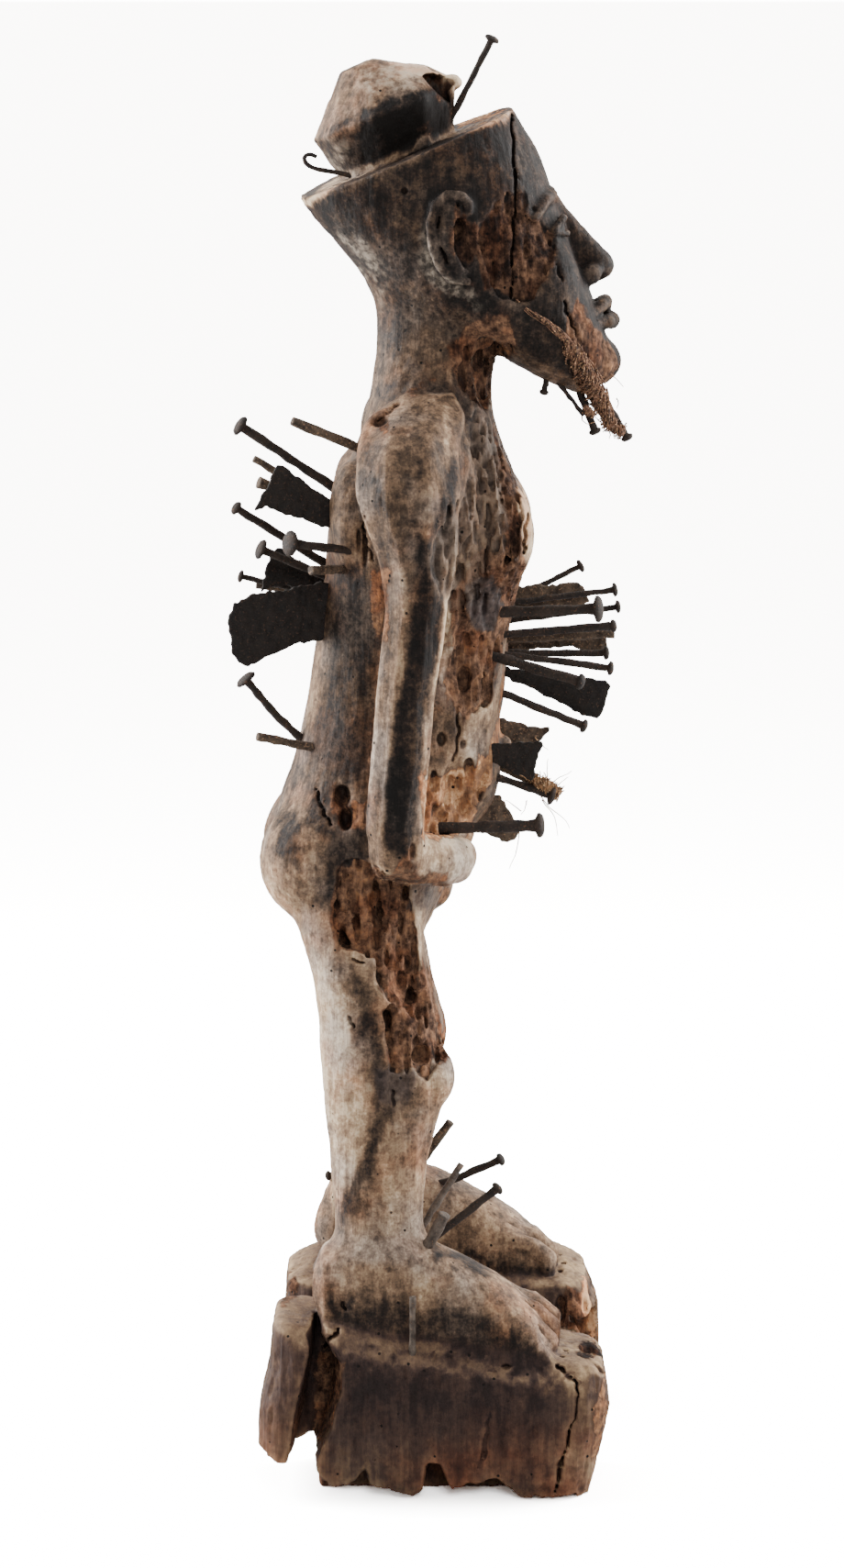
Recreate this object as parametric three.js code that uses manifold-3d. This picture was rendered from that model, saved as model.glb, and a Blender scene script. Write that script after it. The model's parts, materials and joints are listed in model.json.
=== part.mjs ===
// Nkisi nkondi figure: a carved wooden figure standing on two blocks, with iron nails, rods and blades
// driven into it and plant fibre bound round some of them.
// Millimetres, +Z up. The figure faces +X and its left side is +Y. The origin is under its middle.

import * as THREE from 'three';
import { mergeVertices } from 'three/addons/utils/BufferGeometryUtils.js';
import Module from 'manifold-3d';

const wasm = await Module();
wasm.setup();

// Driving sizes
const figureHeight = 952; // from the tops of the blocks to the top of the cap
const blockHeight = 110;
const blockWidth = 98;
const rightBlockLength = 262;
const leftBlockLength = 250;
const clearance = 0.3; // between the wood and what is driven into it
const drivenDepth = 20; // how far a nail or a rod goes into the wood
const bladeDepth = 12;
const bladeThickness = 3.2;
const headThickness = 3.2; // of a nail head with a shank of middling size
const middlingShank = 5;
const tipShare = 0.45; // a nail's tip against its shank
const wireThickness = 3.6;
const crackWidth = 2.6;
const toeGap = 3;

// The carving is drawn for a figure of this height and takes its size from the real one.
// Heights in the carving count from the tops of the blocks.
const drawnHeight = 952;
const share = figureHeight / drawnHeight;

// Helpers for closed meshes

function outwardGeometry(positions, triangles) {
  const corner = (index) => new THREE.Vector3().fromArray(positions, index * 3);
  let volume = 0;
  for (let i = 0; i < triangles.length; i += 3) {
    const [a, b, c] = [corner(triangles[i]), corner(triangles[i + 1]), corner(triangles[i + 2])];
    volume += a.dot(b.cross(c));
  }
  const faces = volume < 0 ? triangles.slice().reverse() : triangles;
  const geometry = new THREE.BufferGeometry();
  geometry.setAttribute('position', new THREE.Float32BufferAttribute(positions, 3));
  geometry.setIndex(faces);
  return geometry;
}

// A skin over rings of points, closed by a fan at each end
function loft(rings) {
  const sides = rings[0].length;
  const positions = rings.flat().flatMap((point) => point.toArray());
  const triangles = [];
  for (let r = 0; r < rings.length - 1; r += 1) {
    for (let s = 0; s < sides; s += 1) {
      const a = r * sides + s;
      const b = r * sides + ((s + 1) % sides);
      triangles.push(a, b, b + sides, a, b + sides, a + sides);
    }
  }
  const last = (rings.length - 1) * sides;
  for (let s = 1; s < sides - 1; s += 1) {
    triangles.push(0, s + 1, s, last, last + s, last + s + 1);
  }
  return outwardGeometry(positions, triangles);
}

// A ring of points round a centre, from an ellipse at power 2 to a box at high powers
function ring(centre, along, across, halfLength, halfWidth, sides, power = 2) {
  return Array.from({ length: sides }, (_, i) => {
    const angle = ((i + 0.5) / sides) * Math.PI * 2;
    const bend = (value) => Math.sign(value) * Math.abs(value) ** (2 / power);
    return centre.clone()
      .addScaledVector(along, bend(Math.cos(angle)) * halfLength)
      .addScaledVector(across, bend(Math.sin(angle)) * halfWidth);
  });
}

const forward = new THREE.Vector3(1, 0, 0);
const leftward = new THREE.Vector3(0, 1, 0);
const upward = new THREE.Vector3(0, 0, 1);
const nearlyUpright = 0.1; // sine of the slant below which a path counts as upright

// A form of level sections, each given as [height, back, front, half width, middle]
function standing(sections, sides, power) {
  return loft(sections.map(([height, back, front, halfWidth, middle = 0]) => {
    const centre = new THREE.Vector3((back + front) / 2, middle, height);
    return ring(centre, forward, leftward, (front - back) / 2, halfWidth, sides, power);
  }));
}

// A form that follows a path, with a section at each point that may be taller than it is wide
function alongPath(points, halfWidths, sides, tallness = 1, power = 2) {
  const across = new THREE.Vector3();
  const rings = points.map((point, i) => {
    const before = points[Math.max(i - 1, 0)];
    const after = points[Math.min(i + 1, points.length - 1)];
    const along = after.clone().sub(before).normalize();
    const side = i > 0 ? across.clone() : new THREE.Vector3().crossVectors(upward, along);
    if (side.length() < nearlyUpright) side.copy(leftward);
    across.copy(side.addScaledVector(along, -side.dot(along)).normalize());
    const up = new THREE.Vector3().crossVectors(along, across);
    return ring(point, across.clone(), up, halfWidths[i], halfWidths[i] * tallness, sides, power);
  });
  return loft(rings);
}

function ball([x, y, z], [length, width, height], around = 8, down = 5) {
  return new THREE.SphereGeometry(1, around, down)
    .rotateX(Math.PI / 2).scale(length, width, height).translate(x, y, z);
}

// An outline in the X and Z directions, drawn out along Y
function slab(outline, fromY, toY) {
  const shape = new THREE.Shape(outline.map(([x, z]) => new THREE.Vector2(x, z)));
  return new THREE.ExtrudeGeometry(shape, { depth: toY - fromY, bevelEnabled: false })
    .rotateX(Math.PI / 2).translate(0, toY, 0);
}

// The mirror image on the other side of the figure
function otherSide(geometry) {
  const mirrored = geometry.clone().scale(1, -1, 1);
  const bare = mirrored.index ? mirrored : mergeBare(mirrored);
  return outwardGeometry(Array.from(bare.attributes.position.array), Array.from(bare.index.array));
}

const bothSides = (geometry) => [geometry, otherSide(geometry)];

function mergeBare(geometry) {
  const bare = geometry.clone();
  bare.deleteAttribute('normal');
  bare.deleteAttribute('uv');
  return mergeVertices(bare, 1e-4);
}

function asSolid(geometry) {
  const bare = mergeBare(geometry);
  return new wasm.Manifold(new wasm.Mesh({
    numProp: 3,
    vertProperties: new Float32Array(bare.attributes.position.array),
    triVerts: new Uint32Array(bare.index.array),
  }));
}

function asGeometry(manifold) {
  const mesh = manifold.getMesh();
  const geometry = new THREE.BufferGeometry();
  geometry.setAttribute('position', new THREE.Float32BufferAttribute(mesh.vertProperties, 3));
  geometry.setIndex(Array.from(mesh.triVerts));
  return geometry;
}

const joined = (geometries) => geometries.map(asSolid).reduce((whole, next) => whole.add(next));
const cutBy = (whole, geometries) => geometries.map(asSolid).reduce((left, cut) => left.subtract(cut), whole);

// From the carving's own lengths to the real place above the floor
const toReal = (geometry) => geometry.clone().scale(share, share, share).translate(0, 0, blockHeight);
const realPoint = ([x, y, height]) => new THREE.Vector3(x * share, y * share, height * share + blockHeight);

// Body and neck, from the crotch up into the head
const bodySections = [
  [284, -84, -4, 66], [310, -99, 8, 82], [354, -112, 26, 90], [390, -110, 41, 88],
  [432, -96, 52, 78], [475, -87, 62, 72], [520, -80, 65, 72],
  [594, -71, 82, 86], [615, -68, 80, 92], [643, -62, 71, 97], [670, -47, 59, 90],
  [710, -38, 52, 56], [739, -34, 55, 49], [770, -34, 58, 47],
  [792, -41, 60, 50], [808, -50, 60, 56], [824, -61, 50, 62],
];
const bodyPower = 2.4;

function bodySectionAt(height) {
  const above = Math.max(1, bodySections.findIndex((section) => section[0] >= height));
  const [low, high] = [bodySections[above - 1], bodySections[above]];
  const part = (height - low[0]) / (high[0] - low[0]);
  return low.map((value, i) => value + (high[i] - value) * part);
}

// Where the body's front or back lies at a height, this far to the left of its middle
function bodySurface(height, y, facing) {
  const [, back, front, halfWidth] = bodySectionAt(height);
  const reach = Math.max(0, 1 - Math.abs(y / halfWidth) ** bodyPower) ** (1 / bodyPower);
  return (back + front) / 2 + (facing * reach * (front - back)) / 2;
}

const buttock = ball([-77, 42, 358], [45, 46, 48], 9, 6);
const breast = ball([50, 40, 604], [33, 38, 44], 7, 5);
const shoulderBlade = ball([-52, 44, 618], [17, 30, 42], 7, 4);
const belly = ball([26, 0, 428], [34, 58, 54]);
const navel = ball([60, 0, 440], [8, 6, 6], 7, 4);
const groin = ball([4, 0, 330], [20, 16, 20], 7, 4);
const collarRidge = ball([20, 46, 688], [30, 34, 13], 7, 4);

const bodyForms = [
  standing(bodySections, 14, bodyPower), belly, groin,
  ...[buttock, breast, shoulderBlade, collarRidge].flatMap(bothSides),
];

// Head, drawn upright and then tilted back about the middle of its flat top
const headTilt = THREE.MathUtils.degToRad(22.8);
const headPivot = new THREE.Vector3(-10.5, 0, 883);
const tilted = (geometry) => geometry.clone().rotateY(-headTilt).translate(...headPivot.toArray());
const tiltedPoint = ([x, y, z]) => new THREE.Vector3(x, y, z)
  .applyAxisAngle(leftward, -headTilt).add(headPivot).toArray();

// Face in thirds from the edge of the flat top: brow, foot of the nose and chin
const faceLength = 210;
const browDrop = faceLength / 3;
const noseDrop = (faceLength * 2) / 3;
const eyeDrop = browDrop + faceLength * 0.1;
const mouthDrop = noseDrop + faceLength / 9;
const eyeSpread = 29;

// Each section of the skull is [share of the face length, back, front, half width]
const skull = standing([
  [-1, 46, 70, 24], [-0.943, 34, 80, 37], [-0.876, 22, 84, 47], [-0.79, 8, 86, 55],
  [-0.667, -14, 86, 62], [-0.533, -44, 86, 68], [-0.41, -60, 87, 71], [-0.295, -66, 89, 73],
  [-0.171, -75, 90, 74], [-0.086, -81, 88, 73], [0, -85.5, 85, 71],
].map(([level, ...section]) => [level * faceLength, ...section]), 14, 2.3);
const brow = ball([78, 30, -browDrop], [15, 30, 6], 7, 4);
const eyeSocket = ball([94, eyeSpread, -eyeDrop], [13, 20, 11]);
const eye = ball([79, eyeSpread, -eyeDrop], [9, 15, 8.5]);
const cheek = ball([58, 38, -noseDrop + 18], [25, 21, 30], 7, 4);
const nose = standing([
  [-noseDrop - 3, 80, 98, 15], [-noseDrop + 4, 80, 107, 18], [-noseDrop + 16, 80, 108, 15],
  [-noseDrop + 36, 80, 98, 10], [-browDrop - 2, 78, 91, 8],
], 10, 2.4);
const upperLip = ball([84, 0, -mouthDrop + 5], [14, 24, 6.5]);
const lowerLip = ball([83, 0, -mouthDrop - 6], [14, 21, 7]);
const chin = ball([72, 0, -faceLength + 14], [17, 26, 16], 7, 4);
const chinTip = tiltedPoint([72, 0, -faceLength]);

// Each ear is a rim bent like a letter C, open to the front, round a hollow. It leans back less than
// the head does, so it is drawn about its own middle.
const earMiddle = [21, 70, 826];
const earLean = THREE.MathUtils.degToRad(11.4);
const earHalfHeight = 31;
const earHalfLength = 13;
const earRimHalfWidth = 5;
const earRimAngles = [22, 68, 114, 160, 206, 252, 298];
const asEar = (geometry) => geometry.clone().rotateY(-earLean).translate(...earMiddle);
const earRimPoints = earRimAngles.map((degrees) => {
  const angle = THREE.MathUtils.degToRad(degrees);
  return new THREE.Vector3(Math.cos(angle) * earHalfLength, 3, Math.sin(angle) * earHalfHeight);
});
const earRim = asEar(alongPath(earRimPoints, earRimPoints.map(() => earRimHalfWidth), 5));
const earBody = asEar(ball([-1, -4, 0], [15, 11, 31], 7, 4));
const earHollow = asEar(ball([3, 8, 0], [10, 9, 22], 7, 4));

// The cap stands on the flat top, wider above its foot, with flat facets
const cap = standing([
  [-5, -52, 40, 40], [9, -54, 43, 42], [37, -61, 57, 55], [56, -43, 39, 40], [75, -23, 4, 17],
], 10, 2);

// A wedge has broken out of the cap's right side, down to its foot in front
const capBreak = slab([
  [-1, 943], [7, 945], [28, 940], [23, 935], [19, 930], [21, 921], [16, 924], [9, 931],
], -60, -4);

// Behind the wedge a tooth of the cap stands out in front
const capTooth = ball([22, 6, 936], [8, 12, 6], 6, 4);

const headForms = [
  skull, nose, upperLip, lowerLip, chin, cap,
  ...[brow, cheek].flatMap(bothSides),
].map(tilted).concat([earRim, earBody].flatMap(bothSides), capTooth);
const headCuts = bothSides(eyeSocket).map(tilted).concat(bothSides(earHollow), capBreak);
const eyes = bothSides(eye).map(tilted);

// The crack runs down the right side of the head, from the edge of the flat top to the jaw
const crack = new THREE.BoxGeometry(crackWidth, 34, 138).translate(64, -64, 850);

// Arms hang clear of the body from the armpit to the elbow, and the forearms turn in to the belly
const armSections = [
  [358, -22, 2, 12, 107], [372, -39, 5, 20, 110], [398, -43, 2, 22, 112], [444, -39, 7, 22, 113],
  [494, -35, 11, 22, 113], [560, -28, 20, 24, 111], [592, -33, 28, 28, 110], [643, -52, 31, 38, 103],
  [678, -50, 30, 42, 90], [696, -44, 36, 34, 74], [712, -12, 24, 14, 60],
];
const upperArm = standing(armSections, 8, 2);
const forearmPath = [[-22, 111, 376], [0, 96, 370], [16, 80, 365], [25, 64, 362], [29, 50, 362]]
  .map((point) => new THREE.Vector3(...point));
const forearm = alongPath(forearmPath, [17, 16, 15.5, 14, 12], 8, 1.25);

// Legs bend a little at the knee and spread out to the feet
const footSpread = 103; // from the middle of the figure to the middle of each foot
const legSections = [
  [14, -64, 12, 32, footSpread], [55, -67, 8, 34, 98], [92, -65, 0, 32, 93], [140, -69, 4, 33, 87],
  [206, -76, 20, 36, 77], [241, -77, 10, 38, 72], [283, -84, 2, 41, 63],
  [320, -97, 2, 41, 52], [356, -98, 12, 36, 46], [392, -84, 8, 26, 44],
];
const leg = standing(legSections, 9, 2.2);
const kneecap = ball([11, 79, 199], [14, 22, 20], 7, 4);

// Feet lie along the blocks, each section given as [distance forward, half width, sole, instep]
const footSections = [
  [-82, 13, 30, 58], [-74, 24, 12, 74], [-50, 30, 2, 84], [-20, 32, -4, 84], [7, 33, -8, 77],
  [28, 35, -14, 66], [55, 38, -20, 52], [73, 40, -24, 37], [95, 41, -28, 20], [106, 37, -28, 8],
];
const foot = loft(footSections.map(([x, halfWidth, sole, instep]) => {
  const centre = new THREE.Vector3(x, footSpread, (sole + instep) / 2);
  return ring(centre, leftward, upward, halfWidth, (instep - sole) / 2, 9, 2.6);
}));
const betweenToes = [-24, -8, 8, 24]; // from the middle of the foot
const toeGrooves = betweenToes.map((offset) => (
  slab([[74, 35], [112, -1], [112, 35]], -toeGap / 2, toeGap / 2).translate(0, footSpread + offset, 0)
));

// The left leg is carved a little lower and further forward than the right one
const leftLegShift = [4, 0, -4];
const limbForms = [
  ...[upperArm, forearm].flatMap(bothSides),
  ...[leg, kneecap, foot].map(otherSide),
  ...[leg, kneecap, foot].map((form) => form.clone().translate(...leftLegShift)),
];

// Rot and insects have eaten hollows into the right side
const shoulderFurrow = alongPath(
  [[26, -50, 728], [38, -62, 692], [48, -76, 650], [50, -84, 604], [44, -82, 570]]
    .map((point) => new THREE.Vector3(...point)),
  [5, 9, 10, 9, 4],
  5,
);
const rotHollows = [
  ball([50, -36, 728], [13, 15, 32], 6, 4),
  ball([-58, -88, 422], [8, 14, 11], 6, 4),
  ball([-52, -92, 402], [7, 14, 9], 6, 4),
  ball([32, -76, 496], [8, 12, 10], 6, 4),
  ball([34, -66, 418], [20, 12, 26], 6, 4),
  ball([24, -142, 612], [20, 16, 46], 6, 4),
  ball([-18, -126, 330], [30, 26, 34], 6, 4),
  ball([12, -122, 282], [16, 22, 38], 6, 4),
  ball([8, -128, 236], [20, 20, 24], 6, 4),
];

const carvedForms = [...bodyForms, ...headForms, ...limbForms].map(toReal);
const carvedCuts = [
  ...headCuts, crack, navel, shoulderFurrow, ...rotHollows, ...toeGrooves.map(otherSide),
  ...toeGrooves.map((groove) => groove.clone().translate(...leftLegShift)),
].map(toReal);

// Blocks under the feet. Their plan is given in shares of length and width, and their ends lean:
// each level is [share of the height, back end, front end]. Their tops slope as the soles do, and the
// left one also rises to its outer side.
const blockPlan = [
  [0, 0.2], [0.07, 0], [0.4, 0.04], [0.7, 0], [0.93, 0.03], [1, 0.16],
  [0.99, 0.8], [0.92, 1], [0.5, 0.97], [0.1, 1], [0.01, 0.84],
];
function footBlock({ length, middleX, side, levels, topBack, topFront, outerRise }) {
  const outerY = footSpread * share + blockWidth / 2;
  const body = loft(levels.map(([height, backEnd, frontEnd]) => blockPlan.map(([x, y]) => new THREE.Vector3(
    middleX + (backEnd + (frontEnd - backEnd) * x) * length,
    side * (outerY - y * blockWidth),
    height * blockHeight,
  ))));
  const fall = ((topBack - topFront) / 2) * share;
  const top = blockHeight + ((topBack + topFront) / 2) * share;
  const farUp = top + blockHeight * 2;
  const slope = loft([-1, 1].map((across) => [
    [-1, top + fall * 2 + outerRise * across], [1, top - fall * 2 + outerRise * across],
    [1, farUp], [-1, farUp],
  ].map(([end, height]) => new THREE.Vector3(
    middleX + end * length,
    side * (outerY - blockWidth / 2 + across * blockWidth),
    height,
  ))));
  return asSolid(body).subtract(asSolid(slope));
}

const rightSide = -1;
const leftSide = 1;
const rightMiddleX = 10;
const leftMiddleX = 17;
const rightOuterY = -footSpread * share - blockWidth / 2;
const rightBlockForm = {
  length: rightBlockLength,
  middleX: rightMiddleX,
  side: rightSide,
  levels: [
    [0, -0.51, 0.445], [0.1, -0.515, 0.455], [0.62, -0.501, 0.5], [0.92, -0.472, 0.48], [1.4, -0.46, 0.47],
  ],
  topBack: 26,
  topFront: -10,
  outerRise: 0,
};
const leftBlockForm = {
  length: leftBlockLength,
  middleX: leftMiddleX,
  side: leftSide,
  levels: [
    [0, -0.5, 0.5], [0.7, -0.506, 0.495], [0.95, -0.495, 0.452], [1.08, -0.4, 0.357], [1.3, -0.3, 0.3],
  ],
  topBack: 3,
  topFront: 2,
  outerRise: 13,
};

// The right block is split by a deep notch behind the foot, and its lower edge has rotted away.
// Each outline is given in shares of the block's length and height.
const onBlock = (middleX, length) => ([along, up]) => [middleX + along * length, up * blockHeight];
const onRight = onBlock(rightMiddleX, rightBlockLength);
const onLeft = onBlock(leftMiddleX, leftBlockLength);
const fromRightSide = (part) => rightOuterY + part * blockWidth;
const fromLeftMiddle = (part) => footSpread * share + part * blockWidth;
const notch = slab([
  [-0.47, -0.1], [-0.429, 0.278], [-0.367, 1.066], [-0.36, 1.4], [-0.3, 1.4], [-0.309, 1.118],
  [-0.264, 0.962], [-0.266, 0.774], [-0.295, 0.487], [-0.336, 0.258], [-0.332, 0.1], [-0.325, -0.1],
].map(onRight), fromRightSide(-0.1), fromRightSide(0.5));
const lumpLift = slab([
  [-0.6, -0.1], [-0.6, 0.41], [-0.512, 0.355], [-0.455, 0.26], [-0.4, 0.25], [-0.365, 0.32],
  [-0.345, 0.3], [-0.325, -0.1],
].map(onRight), fromRightSide(-1), fromRightSide(1.2));
const raggedEdge = slab([
  [-0.34, -0.1], [-0.34, 0.2], [-0.303, 0.1], [-0.253, 0.1], [-0.202, 0.21], [-0.19, 0.11],
  [-0.143, 0.07], [-0.068, 0.03], [-0.043, 0.07], [-0.018, 0.26], [0.014, 0.26], [0.048, 0.07],
  [0.098, 0.11], [0.174, 0.15], [0.242, 0.03], [0.343, 0.01], [0.4, 0.04], [0.4, -0.1],
].map(onRight), fromRightSide(-0.1), fromRightSide(0.3));
const frontChip = slab([
  [0.4, 1.1], [0.47, 0.84], [0.56, 0.8], [0.56, 1.1],
].map(onRight), fromRightSide(-0.1), fromRightSide(0.22));
const leftBreak = slab([
  [0.4, 0.7], [0.46, 0.28], [0.6, 0.2], [0.6, 0.78],
].map(onLeft), fromLeftMiddle(-1), fromLeftMiddle(-0.1));

// The outer top edge of the right block is worn to a slope, given as [along, up where it leaves the side].
// It is lower towards the toes.
const slopeRise = 1.25; // over each length in from the side
const slopeInset = 34;
const wornLevels = [[-0.5, 1.15], [-0.24, 0.97], [0.28, 0.8], [0.49, 0.82]];
const wornEdge = loft(wornLevels.map(([along, up]) => {
  const [x, height] = onRight([along, up]);
  const onSlope = (inset) => new THREE.Vector3(x, rightOuterY + inset, height + slopeRise * inset);
  const above = new THREE.Vector3(x, rightOuterY - slopeInset, height + slopeRise * slopeInset);
  return [onSlope(-slopeInset), onSlope(slopeInset), above];
}));

const rightBlock = cutBy(footBlock(rightBlockForm), [notch, lumpLift, raggedEdge, frontChip, wornEdge]);
const leftBlock = cutBy(footBlock(leftBlockForm), [leftBreak]);

// Iron: what is driven in, each with a bed in the wood that is larger by the clearance

const pieces = []; // { name, geometry, bed, envelope, material, place }
const roundSides = 6;
const clearOfFlats = 1.25; // a few-sided section grows by more at its corners than at its flats
const crownShare = 0.72; // of a nail head's width, flat on top
const bedBeyondSurface = 1.5; // the bed is drawn out of the wood by this share of its depth

function directionOf(facing, riseDegrees, splayDegrees) {
  const rise = THREE.MathUtils.degToRad(riseDegrees);
  const splay = THREE.MathUtils.degToRad(splayDegrees);
  return new THREE.Vector3(
    facing * Math.cos(rise) * Math.cos(splay),
    Math.cos(rise) * Math.sin(splay),
    Math.sin(rise),
  );
}

// A forged nail: a tapered shank that may bend, and under six sides a flat domed head.
// With no head it is a rod or a peg cut off square.
function addDriven(name, entry, direction, size, material) {
  const { out, shank, head = 0, bend = 0, bendAt = 0.5, depth = drivenDepth } = size;
  const place = (distance) => {
    const lift = bend * Math.sin(Math.PI * Math.min(1, Math.max(0, distance / out) / (2 * bendAt)));
    return entry.clone().addScaledVector(direction, distance).add(new THREE.Vector3(0, 0, -lift));
  };
  const crown = headThickness * (shank / middlingShank);
  const shankEnd = head ? out - crown : out;
  const stops = bend ? [-depth, 0, out * bendAt, shankEnd] : [-depth, 0, shankEnd];
  const points = stops.map(place);
  const halves = stops.map((_, i) => (i === 0 ? (shank * tipShare) / 2 : shank / 2));
  const end = points.at(-1).clone().sub(points.at(-2)).normalize();
  const foot = points[0].clone().addScaledVector(direction, -clearance);
  const bedHalf = (shank / 2 + clearance) * Math.SQRT2;
  const bedEnd = place(Math.min(out / 2, drivenDepth * bedBeyondSurface));
  const bedPath = bend ? [foot, points[1], bedEnd] : [foot, bedEnd];
  const bed = alongPath(bedPath, bedPath.map(() => bedHalf), 4);
  if (head) {
    const neck = points.at(-1).clone();
    points.push(neck.clone().addScaledVector(end, crown / 5), neck.clone().addScaledVector(end, crown));
    halves.push(head / 2, (head / 2) * crownShare);
  }
  const envelopeHalves = halves.map((half) => half + clearance * clearOfFlats);
  const tip = points.at(-1).clone().addScaledVector(end, clearance);
  const envelope = alongPath([foot, ...points.slice(1, -1), tip], envelopeHalves, roundSides);
  const geometry = alongPath(points, halves, roundSides);
  pieces.push({ name, geometry, bed, envelope, material, place });
}

// Metals and fibre
const iron = new THREE.MeshStandardMaterial({ color: 0x2a221e, roughness: 0.75, metalness: 0.5 });
const rustyIron = new THREE.MeshStandardMaterial({ color: 0x4a2c1c, roughness: 0.9, metalness: 0.25 });
const blackIron = new THREE.MeshStandardMaterial({ color: 0x161414, roughness: 0.7, metalness: 0.5 });
const fibre = new THREE.MeshStandardMaterial({ color: 0x6b4426, roughness: 0.95, metalness: 0 });
const wood = new THREE.MeshStandardMaterial({ color: 0x5d4a3b, roughness: 0.7, metalness: 0 });

// Nails, rods and pegs in the back and the front of the body, each with its height on the body,
// its distance to the left of the middle, its rise and its splay to the left in degrees
const back = -1;
const front = 1;
const inBody = [
  ['back_rod_1', back, 668, -62, 23, -24, { out: 68, shank: 6.5 }],
  ['back_nail_1', back, 636, -28, 34, -16, { out: 94, shank: 5.6, head: 13 }],
  ['back_rod_2', back, 623, -12, 31, -17, { out: 72, shank: 5.2 }],
  ['back_peg_1', back, 616, 5, 23, -20, { out: 63, shank: 7.5 }],
  ['back_nail_2', back, 576, 8, 33, -16, { out: 85, shank: 5, head: 9 }],
  ['back_nail_3', back, 596, -66, 10, -33, { out: 59, shank: 5.4, head: 16 }],
  ['back_nail_4', back, 570, -14, 24, -18, { out: 57, shank: 5, head: 13 }],
  ['back_rod_3', back, 581, -58, 4, -42, { out: 33, shank: 6 }],
  ['back_nail_5', back, 550, 18, 14, -4, { out: 66, shank: 3.4, head: 8 }],
  ['back_rod_4', back, 548, 34, 9, -4, { out: 55, shank: 5 }],
  ['back_nail_6', back, 447, -22, 48, -13, { out: 66, shank: 5, head: 14, bend: 3, bendAt: 0.45 }],
  ['back_rod_5', back, 445, -46, 14, -22, { out: 44, shank: 6 }],
  ['chest_nail_1', front, 548, 17, 25, 10, { out: 58, shank: 3.6, head: 8.5 }],
  ['chest_nail_2', front, 548, 0, 7, 1, { out: 77, shank: 3.8, head: 9 }],
  ['chest_nail_3', front, 547, -44, 4, -14, { out: 74, shank: 6.4, head: 17 }],
  ['chest_nail_4', front, 529, 27, 7, 3, { out: 88, shank: 3.6, head: 8.5 }],
  ['chest_nail_5', front, 528, -29, 5, -4, { out: 83, shank: 5, head: 8 }],
  ['chest_rod_1', front, 522, -13, 3, -1, { out: 80, shank: 6.5 }],
  ['chest_nail_6', front, 508, 4, 0, 1, { out: 78, shank: 4.4, head: 9 }],
  ['chest_nail_7', front, 511, -20, -7, -4, { out: 82, shank: 4.4, head: 9 }],
  ['chest_nail_8', front, 512, -40, -14, -14, { out: 69, shank: 6.5, head: 10 }],
  ['chest_nail_9', front, 480, -14, -21, -7, { out: 68, shank: 4.8, head: 9 }],
  ['belly_rod_1', front, 427, -4, -27, -9, { out: 52, shank: 4.6 }],
  ['belly_nail_1', front, 420, -20, -18, -4, { out: 56, shank: 5, head: 13 }],
  ['belly_nail_2', front, 387, -66, 3, -6, { out: 71, shank: 7, head: 16 }],
];
for (const [name, facing, height, y, rise, splay, size] of inBody) {
  const entry = realPoint([bodySurface(height, y, facing), y, height]);
  addDriven(name, entry, directionOf(facing, rise, splay), size, size.head ? iron : rustyIron);
}

// Nails and pegs in the head, the ankles and the right block, each with its place on the figure
const inLimbs = [
  ['crown_nail', [20, -13, 907], 62, -17, { out: 72, shank: 4, head: 9.5 }],
  ['left_shin_rod', [-8, 73, 80], 55, -12, { out: 54, shank: 6.5 }],
  ['left_ankle_nail', [-6, 90, 63], 22, -12, { out: 78, shank: 5, head: 9, bend: 4, bendAt: 0.4 }],
  ['right_ankle_rod', [-2, -86, 80], 53, 28, { out: 60, shank: 5 }],
  ['right_ankle_nail', [4, -97, 74], 37, 9, { out: 70, shank: 5.2, head: 9 }],
  ['right_ankle_peg', [0, -112, 68], 63, -14, { out: 38, shank: 8 }],
];
for (const [name, place, rise, splay, size] of inLimbs) {
  addDriven(name, realPoint(place), directionOf(front, rise, splay), size, size.head ? iron : rustyIron);
}
const heelNailPlace = realPoint([-68, 96, 73]);
addDriven('left_heel_nail', heelNailPlace, directionOf(back, -8, 0), { out: 9, shank: 4, head: 7 }, iron);
const blockNailPlace = new THREE.Vector3(-7, fromRightSide(0.1), blockHeight + 3);
addDriven('right_block_nail', blockNailPlace, upward, { out: 43, shank: 4.6 }, rustyIron);

// A hooked wire at the back of the cap's foot
const hookPath = [
  [-40, -20, 866], [-62, -20, 871], [-75, -20, 873], [-84, -20, 876],
  [-88, -20, 881], [-84, -20, 885], [-77, -20, 882],
].map(realPoint);
const wireSides = 5;
const hookRoot = hookPath.slice(0, 3);
const wireBedHalf = wireThickness / 2 + clearance * clearOfFlats;
pieces.push({
  name: 'cap_hook',
  geometry: alongPath(hookPath, hookPath.map(() => wireThickness / 2), wireSides),
  bed: alongPath(hookRoot, hookRoot.map(() => wireBedHalf), wireSides),
  material: iron,
});

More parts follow.
